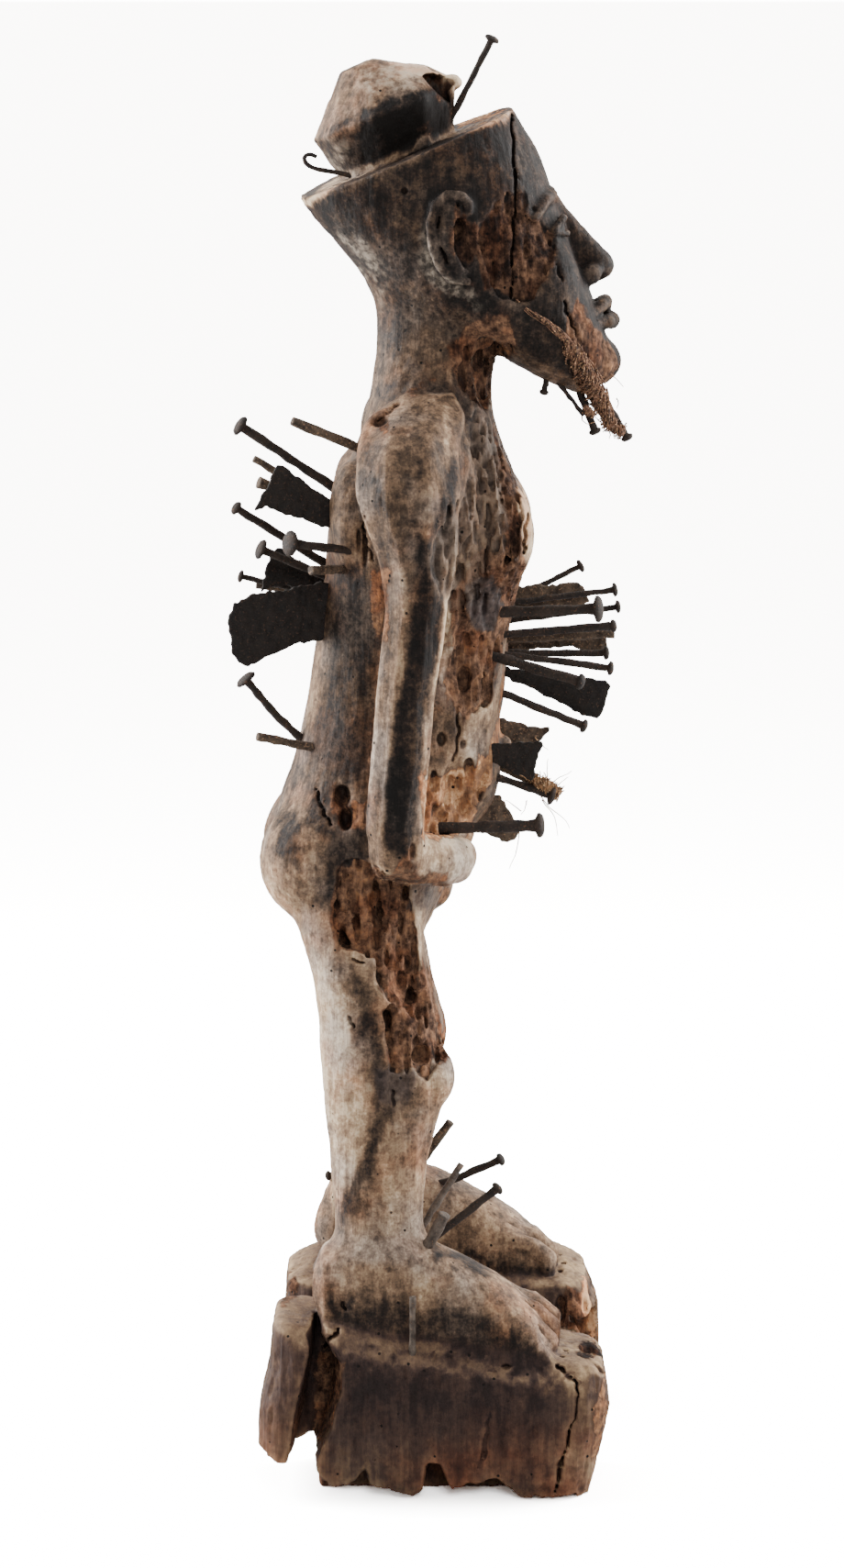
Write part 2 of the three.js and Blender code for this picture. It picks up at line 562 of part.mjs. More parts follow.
// Blades cut from sheet iron. Each outline runs from the wood to the free end in steps of
// [share of the length, upper edge, lower edge], and its root is let into a slot
const rootTaper = 0.8;
function addBlade(name, facing, height, y, rise, splay, length, material, edges) {
  const entry = realPoint([bodySurface(height, y, facing), y, height]);
  const direction = directionOf(facing, rise, splay);
  const across = new THREE.Vector3().crossVectors(upward, direction).normalize();
  const up = new THREE.Vector3().crossVectors(direction, across);
  const frame = new THREE.Matrix4().makeBasis(direction, up, across.clone().negate()).setPosition(entry);
  const [, rootTop, rootBottom] = edges[0];
  const plate = (grow) => {
    const root = -bladeDepth - grow;
    const upper = edges.map(([part, top]) => new THREE.Vector2(part * length, top + grow));
    const lower = edges.map(([part, , low]) => new THREE.Vector2(part * length, low - grow));
    const outline = [
      new THREE.Vector2(root, rootBottom * rootTaper - grow), ...lower,
      ...upper.reverse(), new THREE.Vector2(root, rootTop * rootTaper + grow),
    ];
    const thickness = bladeThickness + grow * 2;
    return new THREE.ExtrudeGeometry(new THREE.Shape(outline), { depth: thickness, bevelEnabled: false })
      .translate(0, 0, -thickness / 2).applyMatrix4(frame);
  };
  pieces.push({ name, geometry: asGeometry(asSolid(plate(0))), bed: plate(clearance), material });
}

const blades = [
  ['back_blade_1', back, 616, -40, 27, -16, 60, blackIron, [
    [0, 8, -8], [0.6, 15, -13], [0.9, 19, -14], [1, 17, -20],
  ]],
  ['back_blade_2', back, 562, -2, 14, -8, 44, blackIron, [[0, 6, -6], [0.9, 19, -10], [1, 14, -16]]],
  ['back_blade_3', back, 548, -34, -11, -22, 76, blackIron, [
    [0, 21, -22], [0.4, 22, -21], [0.74, 25, -25], [0.9, 22, -28], [1, 14, -22], [1.03, 2, -14],
  ]],
  ['chest_blade_1', front, 549, 9, 3, 3, 55, rustyIron, [
    [0, 9, -9], [0.8, 10, -9], [0.92, 7, -8], [1, 0, -6],
  ]],
  ['chest_blade_2', front, 511, 15, 1, 3, 77, rustyIron, [
    [0, 5, -5], [0.4, 6, -2], [0.6, 6, -1], [0.8, 6, -4], [1, 5, -5],
  ]],
  ['chest_blade_3', front, 495, -6, -14, -3, 80, blackIron, [
    [0, 5, -5], [0.3, 6, -7], [0.8, 12, -18], [0.95, 14, -17], [1, 10, -6],
  ]],
  ['belly_blade_1', front, 450, 10, -30, 5, 36, rustyIron, [[0, 8, -8], [0.7, 14, -14], [1, 20, -18]]],
  ['belly_blade_2', front, 440, -34, -14, -7, 38, blackIron, [[0, 6, -6], [0.7, 14, -12], [1, 17, -14]]],
  ['belly_blade_3', front, 388, -8, -22, 2, 38, rustyIron, [
    [0, 17, -14], [0.35, 18, -13], [0.85, 4, -13], [1, -2, -9],
  ]],
];
for (const blade of blades) addBlade(...blade);

// Beard: nails and a rod driven up into the underside of the jaw, with fibre wound round them.
// Each hangs from a first point towards a second one, both counted from the tip of the chin.
const fromChin = ([x, y, z]) => realPoint([chinTip[0] + x, chinTip[1] + y, chinTip[2] + z]);
const underJaw = [
  ['beard_nail_1', [-9, -8, -1], [17, -10, -45], { out: 52, shank: 4.5, head: 8 }],
  ['beard_nail_2', [-21, -16, -5], [-7, -18, -41], { out: 38, shank: 4.5, head: 8 }],
  ['beard_rod', [-33, -24, -5], [-17, -26, -25], { out: 26, shank: 3 }],
  ['jaw_pin', [-45, -20, -1], [-47, -21, -11], { out: 10, shank: 4, head: 6 }],
];
for (const [name, from, to, size] of underJaw) {
  const [start, end] = [from, to].map(fromChin);
  addDriven(name, start, end.sub(start).normalize(), size, iron);
}

// Wads of fibre sit on the iron that goes through them, and the upper one is bedded in the rotten jaw
function addWad(name, points, halfWidths, through) {
  const bedHalves = halfWidths.map((half) => half + clearance * clearOfFlats);
  const bored = pieces.filter((piece) => through.includes(piece.name)).map((piece) => piece.envelope);
  const whole = asSolid(alongPath(points, halfWidths, roundSides));
  const bed = alongPath(points, bedHalves, roundSides);
  pieces.push({ name, geometry: asGeometry(cutBy(whole, bored)), bed, material: fibre });
}
const beardFibrePath = [[-53, -30, 5], [-33, -24, -3], [-9, -10, -9], [5, -10, -23]].map(fromChin);
addWad('beard_fibre', beardFibrePath, [5, 9, 10, 5], underJaw.map(([name]) => name));

// The lower wad is given as [distance out along the upper belly nail, to its left, above it]
const woundNail = pieces.find((piece) => piece.name === 'belly_nail_1');
const bellyFibrePath = [[32, 10, -10], [40, 9, -6], [51, 7, 3]].map(([distance, left, above]) => (
  woundNail.place(distance).add(new THREE.Vector3(0, left * share, above * share))
));
addWad('belly_fibre', bellyFibrePath, [6, 13, 7], ['belly_rod_1', 'belly_nail_1']);

// The wood, with the beds cut last
const figure = joined(carvedForms).add(rightBlock).add(leftBlock);
const eyeSolids = eyes.map(toReal);
const carvedFigure = cutBy(figure, carvedCuts).add(joined(eyeSolids));
const woodSolid = cutBy(carvedFigure, pieces.map((piece) => piece.bed));

// The scene, moved so that the origin is on the floor under the middle
const nkisi = new THREE.Group();
nkisi.name = 'nkisi_nkondi';

function addMesh(name, geometry, material) {
  const mesh = new THREE.Mesh(geometry, material);
  mesh.name = name;
  nkisi.add(mesh);
}

addMesh('wood_figure', asGeometry(woodSolid), wood);
for (const { name, geometry, material } of pieces) addMesh(name, geometry, material);

const bounds = new THREE.Box3().setFromObject(nkisi);
const middle = bounds.getCenter(new THREE.Vector3());
nkisi.position.set(-middle.x, -middle.y, -bounds.min.z);

export default nkisi;
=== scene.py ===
import itertools
import json
import math

import bpy
import numpy as np
import openvdb
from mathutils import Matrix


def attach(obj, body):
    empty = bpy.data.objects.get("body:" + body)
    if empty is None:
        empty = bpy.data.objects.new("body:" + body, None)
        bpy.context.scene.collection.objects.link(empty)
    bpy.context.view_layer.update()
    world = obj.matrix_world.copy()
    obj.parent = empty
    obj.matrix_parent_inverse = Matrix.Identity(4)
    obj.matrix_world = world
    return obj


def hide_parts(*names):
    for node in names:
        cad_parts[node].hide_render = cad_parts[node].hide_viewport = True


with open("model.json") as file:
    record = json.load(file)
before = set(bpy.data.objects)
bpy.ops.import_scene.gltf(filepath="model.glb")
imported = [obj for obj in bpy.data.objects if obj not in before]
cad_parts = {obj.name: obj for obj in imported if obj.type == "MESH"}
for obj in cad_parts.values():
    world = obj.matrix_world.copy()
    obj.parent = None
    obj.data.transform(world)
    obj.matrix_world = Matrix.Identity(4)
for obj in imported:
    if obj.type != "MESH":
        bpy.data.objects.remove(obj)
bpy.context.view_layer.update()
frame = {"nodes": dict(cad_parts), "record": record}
nodes = frame["nodes"]

# Camera
# A long lens a little above the figure's chest, on its right side, looking slightly down, as in the
# photograph. Its pixels also say where rot, stains and cracks sit on the carving.
FRAME_WIDTH = 920
FRAME_HEIGHT = 1709
LENS_IN_PIXELS = 4957.0
LOOKING_DOWN = math.radians(10.8576)
SENSOR_WIDTH = 36.0
AWAY = 3400.0
EYE_HEIGHT = 1170.0
FIGURE_SHIFT = -6.4  # from the middle of the carving to the middle of the whole object
METRE = 1000.0

camera_data = bpy.data.cameras.new("camera")
camera_data.sensor_width = SENSOR_WIDTH
camera_data.lens = SENSOR_WIDTH * LENS_IN_PIXELS / FRAME_HEIGHT
camera_data.clip_end = 60.0
camera = bpy.data.objects.new("camera", camera_data)
camera.location = (FIGURE_SHIFT / METRE, -AWAY / METRE, EYE_HEIGHT / METRE)
camera.rotation_euler = (math.pi / 2 - LOOKING_DOWN, 0, 0)
bpy.context.scene.collection.objects.link(camera)
bpy.context.scene.camera = camera


def seen_at(x, y, z):
    """The pixel of the photograph where a point of the figure shows"""
    ahead = y + AWAY
    above = z - EYE_HEIGHT
    depth = ahead * math.cos(LOOKING_DOWN) - above * math.sin(LOOKING_DOWN)
    rise = ahead * math.sin(LOOKING_DOWN) + above * math.cos(LOOKING_DOWN)
    return FRAME_WIDTH / 2 + LENS_IN_PIXELS * x / depth, FRAME_HEIGHT / 2 - LENS_IN_PIXELS * rise / depth


def along_sight(u, v, y):
    """The point at depth y that a pixel looks at"""
    across = (u - FRAME_WIDTH / 2) / LENS_IN_PIXELS
    lift = (FRAME_HEIGHT / 2 - v) / LENS_IN_PIXELS
    ahead = math.cos(LOOKING_DOWN) + lift * math.sin(LOOKING_DOWN)
    rise = -math.sin(LOOKING_DOWN) + lift * math.cos(LOOKING_DOWN)
    reach = (y + AWAY) / ahead
    return across * reach, EYE_HEIGHT + rise * reach


# Carved wood, the blocks
# Two blocks left square under the feet. The right one is split by a slanting notch behind the foot and
# has rotted to a ragged lower edge. All the wood is one log, cut with an adze: a field of distances to
# its surface, so that forms flow into each other and insects can eat into it.
STEP = 1.5
REACH = 12.0
BLOCK_HEIGHT = 110.0
wood_low = np.array((-160.0, -160.0, -8.0))
wood_high = np.array((166.0, 160.0, 1082.0))
axes = [np.arange(wood_low[i], wood_high[i], STEP) for i in range(3)]
field = np.full([len(axis) for axis in axes], REACH, np.float32)


def window(low, high):
    """The part of the field inside a box, with the places of its points"""
    ends = [np.searchsorted(axes[i], (low[i], high[i])) for i in range(3)]
    parts = tuple(slice(int(a), int(b)) for a, b in ends)
    x, y, z = (axes[i][parts[i]].astype(np.float32) for i in range(3))
    return parts, x[:, None, None], y[None, :, None], z[None, None, :]


def soft_max(a, b, blend):
    """The larger of two distances, with a fillet where they meet"""
    share = np.clip(0.5 - 0.5 * (b - a) / blend, 0, 1)
    return b + (a - b) * share + blend * share * (1 - share)


def add_wood(shape, blend=4.0):
    """Joins a form to the wood with a soft fillet. A form is its box and its field of distances."""
    low, high, form = shape
    part, x, y, z = window(low, high)
    new = np.clip(form(x, y, z), -REACH, REACH)
    field[part] = -soft_max(-new, -field[part], blend)


def cut_wood(shape, blend=1.5):
    """Takes a form out of the wood"""
    low, high, form = shape
    part, x, y, z = window(low, high)
    gone = -np.clip(form(x, y, z), -REACH, REACH)
    field[part] = soft_max(gone, field[part], blend)


BLOCK_HALF = 49.0
BLOCK_MIDDLE = 103.0
CHAMFER = 15.0
RIGHT, LEFT = -1, 1


def block_form(length, middle, side, levels, top_back, top_front, outer_rise=0.0):
    """A block. Each level has a height, a back and a front, in shares of the block's height and length.
    Its top is given by how far it stands over the plain height at the back and the front."""
    rows = np.array(levels, float)

    def form(x, y, z):
        level = z / BLOCK_HEIGHT
        back = middle + np.interp(level, rows[:, 0], rows[:, 1]) * length
        front = middle + np.interp(level, rows[:, 0], rows[:, 2]) * length
        top = BLOCK_HEIGHT + (top_back + top_front) / 2 - (top_back - top_front) * (x - middle) / length
        top = top + outer_rise * (side * y - BLOCK_MIDDLE) / (2 * BLOCK_HALF)
        ends = soft_max(x - front, back - x, 4)
        sides = np.abs(y - side * BLOCK_MIDDLE) - BLOCK_HALF
        corner = (ends + sides + CHAMFER) / math.sqrt(2)
        plan = soft_max(soft_max(ends, sides, 6), corner, 6)
        return np.maximum(soft_max(plan, z - top, 9), -z)

    low = (middle - length * 0.55 - REACH, min(side * 40, side * 165), -8)
    high = (middle + length * 0.55 + REACH, max(side * 40, side * 165), 165)
    return low, high, form


RIGHT_LENGTH, RIGHT_MIDDLE = 262.0, 10.0
LEFT_LENGTH, LEFT_MIDDLE = 250.0, 17.0
right_levels = [[0, -0.51, 0.445], [0.1, -0.515, 0.455], [0.62, -0.501, 0.5], [0.92, -0.472, 0.48],
                [1.4, -0.46, 0.47]]
left_levels = [[0, -0.5, 0.5], [0.7, -0.506, 0.495], [0.95, -0.495, 0.452], [1.08, -0.4, 0.357],
               [1.3, -0.3, 0.3]]
RIGHT_TOP_BACK, RIGHT_TOP_FRONT = 26, -10
LEFT_TOP_BACK, LEFT_TOP_FRONT = 3, 2
LEFT_OUTER_RISE = 13
add_wood(block_form(RIGHT_LENGTH, RIGHT_MIDDLE, RIGHT, right_levels, RIGHT_TOP_BACK, RIGHT_TOP_FRONT), 3)
add_wood(block_form(LEFT_LENGTH, LEFT_MIDDLE, LEFT, left_levels, LEFT_TOP_BACK, LEFT_TOP_FRONT,
                    LEFT_OUTER_RISE), 3)


def sides_distance(p, q, sides):
    """How far points are outside the closed outline that sides make, below nothing inside it"""
    nearest = np.inf
    inside = False
    for start, end in sides:
        run = end - start
        a, b = p - start[0], q - start[1]
        share = np.clip((a * run[0] + b * run[1]) / (run @ run), 0, 1)
        nearest = np.minimum(nearest, (a - share * run[0]) ** 2 + (b - share * run[1]) ** 2)
        rise = run[1] if abs(run[1]) > 1e-9 else 1e-9
        inside = inside ^ (((start[1] > q) != (end[1] > q)) & (p < run[0] * b / rise + start[0]))
    return np.where(inside, -1, 1) * np.sqrt(nearest)


def outline_distance(p, q, outline):
    """The same for an outline given by its corners"""
    corners = np.array(outline, float)
    return sides_distance(p, q, zip(corners, np.roll(corners, -1, axis=0)))


def grain_noise(x, y, z, size, seed):
    """Smooth noise between 0 and 1. Size is that of its lumps, one length for each direction."""
    parts = [np.asarray(v, np.float32) / s for v, s in zip((x, y, z), size)]
    cells = [np.floor(v).astype(np.int64) for v in parts]
    shares = [v - c for v, c in zip(parts, cells)]
    shares = [s * s * (3 - 2 * s) for s in shares]
    total = 0
    for corner in range(8):
        bits = [(corner >> i) & 1 for i in range(3)]
        code = (cells[0] + bits[0]) * 73856093 ^ (cells[1] + bits[1]) * 19349663
        code = code ^ (cells[2] + bits[2]) * 83492791 ^ seed * 2654435761
        code = (code ^ (code >> 13)) * 1274126177 & 0xffffffff
        value = ((code ^ (code >> 16)) & 0xffff) / 65535.0
        weight = 1
        for bit, share in zip(bits, shares):
            weight = weight * (share if bit else 1 - share)
        total = total + weight * value
    return total


def slab(outline, from_y, to_y, ragged=0.0, taper=0.0):
    """An outline in the X and Z directions, drawn out along Y and narrower with depth by the taper"""
    corners = np.array(outline, float)

    def form(x, y, z):
        distance = outline_distance(x, z, outline) + taper * np.maximum(y - from_y, 0)
        if ragged:
            distance = distance + (grain_noise(x, y, z, (5, 7, 60), 5) - 0.5) * 2 * ragged
        return np.maximum(distance, np.maximum(from_y - y, y - to_y))

    room = REACH
    low = (corners[:, 0].min() - room, from_y - room, corners[:, 1].min() - room)
    high = (corners[:, 0].max() + room, to_y + room, corners[:, 1].max() + room)
    return low, high, form


def on_right(points):
    """Points of the right block, from shares of its length and height"""
    return [(RIGHT_MIDDLE + p * RIGHT_LENGTH, q * BLOCK_HEIGHT) for p, q in points]


def on_left(points):
    """Points of the left block, from shares of its length and height"""
    return [(LEFT_MIDDLE + p * LEFT_LENGTH, q * BLOCK_HEIGHT) for p, q in points]


outer = -BLOCK_MIDDLE - BLOCK_HALF
inner = BLOCK_MIDDLE - BLOCK_HALF
notch = [
    (-0.47, -0.1), (-0.429, 0.278), (-0.367, 1.066), (-0.36, 1.4), (-0.3, 1.4), (-0.309, 1.118),
    (-0.264, 0.962), (-0.266, 0.774), (-0.295, 0.487), (-0.336, 0.258), (-0.332, 0.1), (-0.325, -0.1),
]
lump_lift = [
    (-0.6, -0.1), (-0.6, 0.41), (-0.512, 0.355), (-0.455, 0.26), (-0.4, 0.25), (-0.365, 0.32),
    (-0.345, 0.3), (-0.325, -0.1),
]
ragged_edge = [
    (-0.34, -0.1), (-0.34, 0.2), (-0.303, 0.1), (-0.253, 0.1), (-0.202, 0.21), (-0.19, 0.11),
    (-0.143, 0.07), (-0.068, 0.03), (-0.043, 0.07), (-0.018, 0.26), (0.014, 0.26), (0.048, 0.07),
    (0.098, 0.11), (0.174, 0.15), (0.242, 0.03), (0.343, 0.01), (0.4, 0.04), (0.4, -0.1),
]
front_chip = [(0.4, 1.1), (0.47, 0.84), (0.56, 0.8), (0.56, 1.1)]
left_break = [(0.4, 0.7), (0.46, 0.28), (0.6, 0.2), (0.6, 0.78)]
cut_wood(slab(on_right(notch), outer - 10, outer + 58, 1.6, 0.09))


def worn_edge(x, y, z):
    """What is gone from the outer top edge of the right block, lower towards the toes"""
    edge_height = np.interp(x, [-121, -53, 83, 138], [126, 107, 88, 90])
    rise = 1.25
    return (edge_height + rise * (y - outer) - z) / math.hypot(1, rise)


cut_wood(slab(on_right(lump_lift), outer - 98, outer + 118, 2.0))
cut_wood(slab(on_right(ragged_edge), outer - 10, outer + 30, 2.0))
cut_wood(((-136, outer - 14, 70), (150, outer + 34, 150), worn_edge), 6)
cut_wood(slab(on_right(front_chip), outer - 10, outer + 22, 2.0))
cut_wood(slab(on_left(left_break), inner - 49, inner + 39, 4.0))

# Carved wood, body and limbs
# One with the blocks. The torso leans back over bent knees, the arms are cut in long flats, and the
# right side is the one that shows.
EDGE_POWER = 44.0  # how sharp the edges between facets are


def level_form(sections, power=2.4, flats=0, soften=7.0, floor=BLOCK_HEIGHT):
    """A form of level sections, each a height, back, front, half width and middle. Flats facet it."""
    rows = np.array([(list(section) + [0.0])[:5] for section in sections], float)
    heights = np.linspace(rows[0, 0], rows[-1, 0], int(rows[-1, 0] - rows[0, 0]) + 1)
    table = [np.interp(heights, rows[:, 0], rows[:, i]) for i in range(1, 5)]
    if soften:
        spread = int(soften * 3)
        weights = np.exp(-0.5 * (np.arange(-spread, spread + 1) / soften) ** 2)
        weights /= weights.sum()
        table = [np.convolve(np.pad(row, spread, mode="reflect", reflect_type="odd"), weights, "valid")
                 for row in table]

    def form(x, y, z):
        h = z - floor
        back, front, half, middle = (np.interp(h, heights, row) for row in table)
        length = (front - back) / 2
        p = (x - (front + back) / 2) / length
        q = (y - middle) / half
        if flats:
            turns = np.arange(flats) * 2 * np.pi / flats
            reach = [np.maximum(p * math.cos(t) + q * math.sin(t), 1e-3) for t in turns]
            radius = sum(r ** EDGE_POWER for r in reach) ** (1 / EDGE_POWER)
            pulls = [(r / radius) ** (EDGE_POWER - 1) for r in reach]
            slope_p = sum(pull * math.cos(t) for pull, t in zip(pulls, turns)) / length
            slope_q = sum(pull * math.sin(t) for pull, t in zip(pulls, turns)) / half
            distance = (radius - math.cos(math.pi / flats)) / np.sqrt(slope_p ** 2 + slope_q ** 2 + 1e-9)
        else:
            p = np.maximum(np.abs(p), 1e-3)
            q = np.maximum(np.abs(q), 1e-3)
            radius = (p ** power + q ** power) ** (1 / power)
            slope = radius ** (1 - power) * np.sqrt((p ** (power - 1) / length) ** 2
                                                    + (q ** (power - 1) / half) ** 2)
            distance = (radius - 1) / slope
        ends = np.maximum(h - heights[-1], heights[0] - h)
        return np.maximum(np.clip(distance, -REACH, REACH), ends)

    room = REACH
    low = (rows[:, 1].min() - room, (rows[:, 4] - rows[:, 3]).min() - room, rows[0, 0] + floor - room)
    high = (rows[:, 2].max() + room, (rows[:, 4] + rows[:, 3]).max() + room, rows[-1, 0] + floor + room)
    return low, high, form


def ball(centre, radii, floor=BLOCK_HEIGHT):
    """A rounded form, wider or taller as its three radii say"""
    cx, cy, cz = centre[0], centre[1], centre[2] + floor
    rx, ry, rz = radii

    def form(x, y, z):
        p, q, r = x - cx, y - cy, z - cz
        near = np.sqrt((p / rx) ** 2 + (q / ry) ** 2 + (r / rz) ** 2) + 1e-6
        slope = np.sqrt((p / rx ** 2) ** 2 + (q / ry ** 2) ** 2 + (r / rz ** 2) ** 2) + 1e-6
        return near * (near - 1) / slope

    room = np.array(radii) + REACH
    middle = np.array((cx, cy, cz))
    return middle - room, middle + room, form


def rope_form(points, radii, tall=1.0, floor=BLOCK_HEIGHT):
    """A rounded form that follows a path"""
    path = np.array(points, float) + (0, 0, floor)

    def form(x, y, z):
        best = None
        for start, end, near, far in zip(path[:-1], path[1:], radii[:-1], radii[1:]):
            run = end - start
            p, q, r = x - start[0], y - start[1], z - start[2]
            share = np.clip((p * run[0] + q * run[1] + r * run[2]) / (run @ run), 0, 1)
            gap = np.sqrt((p - share * run[0]) ** 2 + (q - share * run[1]) ** 2
                          + ((r - share * run[2]) / tall) ** 2)
            distance = gap - (near + (far - near) * share)
            best = distance if best is None else np.minimum(best, distance)
        return best

    room = max(radii) * max(tall, 1) + REACH
    return path.min(0) - room, path.max(0) + room, form


def mirrored(shape):
    """A form on the other side of the figure"""
    low, high, form = shape
    return (low[0], -high[1], low[2]), (high[0], -low[1], high[2]), lambda x, y, z: form(x, -y, z)


def moved(shape, offset):
    """A form at another place"""
    low, high, form = shape
    dx, dy, dz = offset
    return np.add(low, offset), np.add(high, offset), lambda x, y, z: form(x - dx, y - dy, z - dz)


def add_both(shape, blend=4.0):
    """Joins a form to the wood on both sides"""
    add_wood(shape, blend)
    add_wood(mirrored(shape), blend)


def cut_both(shape, blend=1.5):
    """Takes a form out of the wood on both sides"""
    cut_wood(shape, blend)
    cut_wood(mirrored(shape), blend)


body_sections = [
    [284, -84, -4, 66], [310, -99, 8, 82], [354, -112, 26, 90], [390, -110, 41, 88],
    [432, -96, 52, 78], [475, -87, 62, 72], [520, -80, 65, 72], [559, -75, 72, 78], [594, -71, 82, 86],
    [615, -68, 80, 92], [643, -62, 71, 97], [670, -47, 59, 90], [690, -42, 53, 74], [710, -38, 52, 56],
    [739, -34, 55, 49], [770, -34, 58, 47], [792, -41, 60, 50], [808, -50, 60, 56], [824, -61, 50, 62],
]
buttock = ball((-77, 42, 358), (45, 46, 48))
breast = ball((50, 40, 604), (33, 38, 44))
shoulder_blade = ball((-52, 44, 618), (17, 30, 42))
belly_swell = ball((26, 0, 428), (34, 58, 54))
navel = ball((60, 0, 440), (8, 6, 6))
collar_bone = rope_form([(26, 10, 690), (30, 48, 686), (10, 74, 690)], [9, 11, 9])
groin = ball((4, 0, 330), (20, 16, 20))
add_wood(level_form(body_sections))
add_both(buttock, 9)
add_both(breast, 7)
add_both(shoulder_blade, 8)
add_wood(belly_swell, 9)
add_wood(navel, 4)
add_both(collar_bone, 6)
add_wood(groin, 6)

# The upper arm is cut in long flats, and the forearm turns in to the belly
arm_sections = [
    [358, -22, 2, 12, 107], [372, -39, 5, 20, 110], [398, -43, 2, 22, 112], [444, -39, 7, 22, 113],
    [494, -35, 11, 22, 113], [560, -28, 20, 24, 111], [592, -33, 28, 28, 110], [643, -52, 31, 38, 103],
    [678, -50, 30, 42, 90], [696, -44, 36, 34, 74], [712, -12, 24, 14, 60],
]
add_both(level_form(arm_sections, flats=8, soften=5), 5)
forearm_path = [(-22, 111, 376), (0, 96, 370), (16, 80, 365), (25, 64, 362), (29, 50, 362)]
add_both(rope_form(forearm_path, [17, 16, 15.5, 14, 12], tall=1.25), 4)

# Each leg bends a little at the knee, and the left one is a little lower and has a longer heel
LEFT_LEG = (-1, 0, -4)
LEFT_FOOT = (4, 0, -1)
FOOT_MIDDLE = 103
FOOT_POWER = 2.6
leg_sections = [
    [14, -64, 12, 32, 103], [55, -67, 8, 34, 98], [92, -65, 0, 32, 93], [140, -69, 4, 33, 87],
    [180, -74, 16, 34, 81], [206, -76, 20, 36, 77], [241, -77, 10, 38, 72], [283, -84, 2, 41, 63],
    [320, -97, 2, 41, 52], [356, -98, 12, 36, 46], [392, -84, 8, 26, 44],
]
foot_sections = [
    [-82, 13, 30, 58], [-74, 24, 12, 74], [-50, 30, 2, 84], [-20, 32, -4, 84], [7, 33, -8, 77],
    [28, 35, -14, 66], [55, 38, -20, 51], [73, 39, -24, 38], [86, 37, -28, 26], [96, 30, -28, 8],
]


def foot_form(x, y, z):
    """A foot of upright sections, each a place, half width, sole and instep"""
    rows = np.array(foot_sections, float)
    half, sole, instep = (np.interp(x, rows[:, 0], rows[:, i]) for i in (1, 2, 3))
    tall = (instep - sole) / 2
    p = np.abs((y - FOOT_MIDDLE) / half)
    q = np.abs((z - BLOCK_HEIGHT - (instep + sole) / 2) / tall)
    radius = (p ** FOOT_POWER + q ** FOOT_POWER) ** (1 / FOOT_POWER)
    side = (radius - 1) * np.minimum(half, tall)
    return np.maximum(side, np.maximum(x - rows[-1, 0], rows[0, 0] - x))


leg = level_form(leg_sections, power=2.2)
foot = ((-95, 55, 70), (112, 150, 205), foot_form)
kneecap = ball((11, 79, 199), (14, 22, 20))
ankle = ball((-26, 122, 62), (12, 9, 13))
# Each toe has a place across the foot, the height of its knuckle, and where and how high its tip is
toe_shapes = [(-31, 29, 102, 12), (-15.5, 33, 105, 14), (0, 31, 104, 10), (15.5, 24, 102, 4),
              (31, 13, 98, -5)]
toes = []
toe_gaps = []
for across, knuckle, tip, tip_height in toe_shapes:
    middle = FOOT_MIDDLE + across
    toe_path = [(62, middle, knuckle), (84, middle, knuckle - 8), (tip - 7, middle, tip_height),
                (tip - 8, middle, tip_height - 12)]
    toes.append(rope_form(toe_path, [6.6, 7.4, 7.6, 7.2]))
for (across, knuckle, tip, tip_height), following in zip(toe_shapes, toe_shapes[1:]):
    middle = FOOT_MIDDLE + (across + following[0]) / 2
    height = (knuckle + following[1]) / 2
    foot_of_gap = (tip_height + following[3]) / 2
    gap_path = [(64, middle, height + 8), (84, middle, height + 1), (tip + 2, middle, foot_of_gap + 2),
                (tip + 4, middle, foot_of_gap - 16)]
    toe_gaps.append(rope_form(gap_path, [0.6, 1.3, 1.8, 1.8], tall=1.8))
left_kneecap = ball((4, 79, 199), (14, 22, 20))
left_heel = ball((-72, 103, 30), (18, 25, 24))
for shape, blend in [(leg, 6), (foot, 8), (kneecap, 6), (ankle, 6)] + [(toe, 2) for toe in toes]:
    add_wood(mirrored(shape), blend)
for shape, blend in [(leg, 6), (left_kneecap, 6)]:
    add_wood(moved(shape, LEFT_LEG), blend)
for shape, blend in [(foot, 8), (left_heel, 8), (ankle, 6)] + [(toe, 2) for toe in toes]:
    add_wood(moved(shape, LEFT_FOOT), blend)
for gap in toe_gaps:
    cut_wood(mirrored(gap), 1.5)
    cut_wood(moved(gap, LEFT_FOOT), 1.5)

# Carved wood, head and cap
# The head is one with the body, tilted back under a flat top that carries a faceted cap. Its face is
# a calm one in plain thirds, with closed brows, heavy lids and full lips.
HEAD_TILT = math.radians(22.8)
HEAD_MIDDLE = (-10.5, 0.0, 883.0 + BLOCK_HEIGHT)
FACE = 210.0
BROW = -FACE / 3
NOSE_FOOT = -FACE * 2 / 3
EYE = BROW - FACE / 10
MOUTH = NOSE_FOOT - FACE / 9


def tilted(shape):
    """A form drawn on an upright head, placed on the tilted one"""
    low, high, form = shape
    lean, rise = math.cos(HEAD_TILT), math.sin(HEAD_TILT)
    corners = [(x * lean - z * rise, x * rise + z * lean)
               for x in (low[0], high[0]) for z in (low[2], high[2])]
    xs, zs = zip(*corners)
    box_low = (min(xs) + HEAD_MIDDLE[0], low[1], min(zs) + HEAD_MIDDLE[2])
    box_high = (max(xs) + HEAD_MIDDLE[0], high[1], max(zs) + HEAD_MIDDLE[2])

    def turned(x, y, z):
        p, r = x - HEAD_MIDDLE[0], z - HEAD_MIDDLE[2]
        return form(p * lean + r * rise, y, r * lean - p * rise)

    return box_low, box_high, turned


def on_head(*args, **keys):
    """Level sections of the head, from its flat top down"""
    return tilted(level_form(*args, floor=0.0, **keys))


def head_ball(centre, radii):
    """A rounded form on the head"""
    return tilted(ball(centre, radii, floor=0.0))


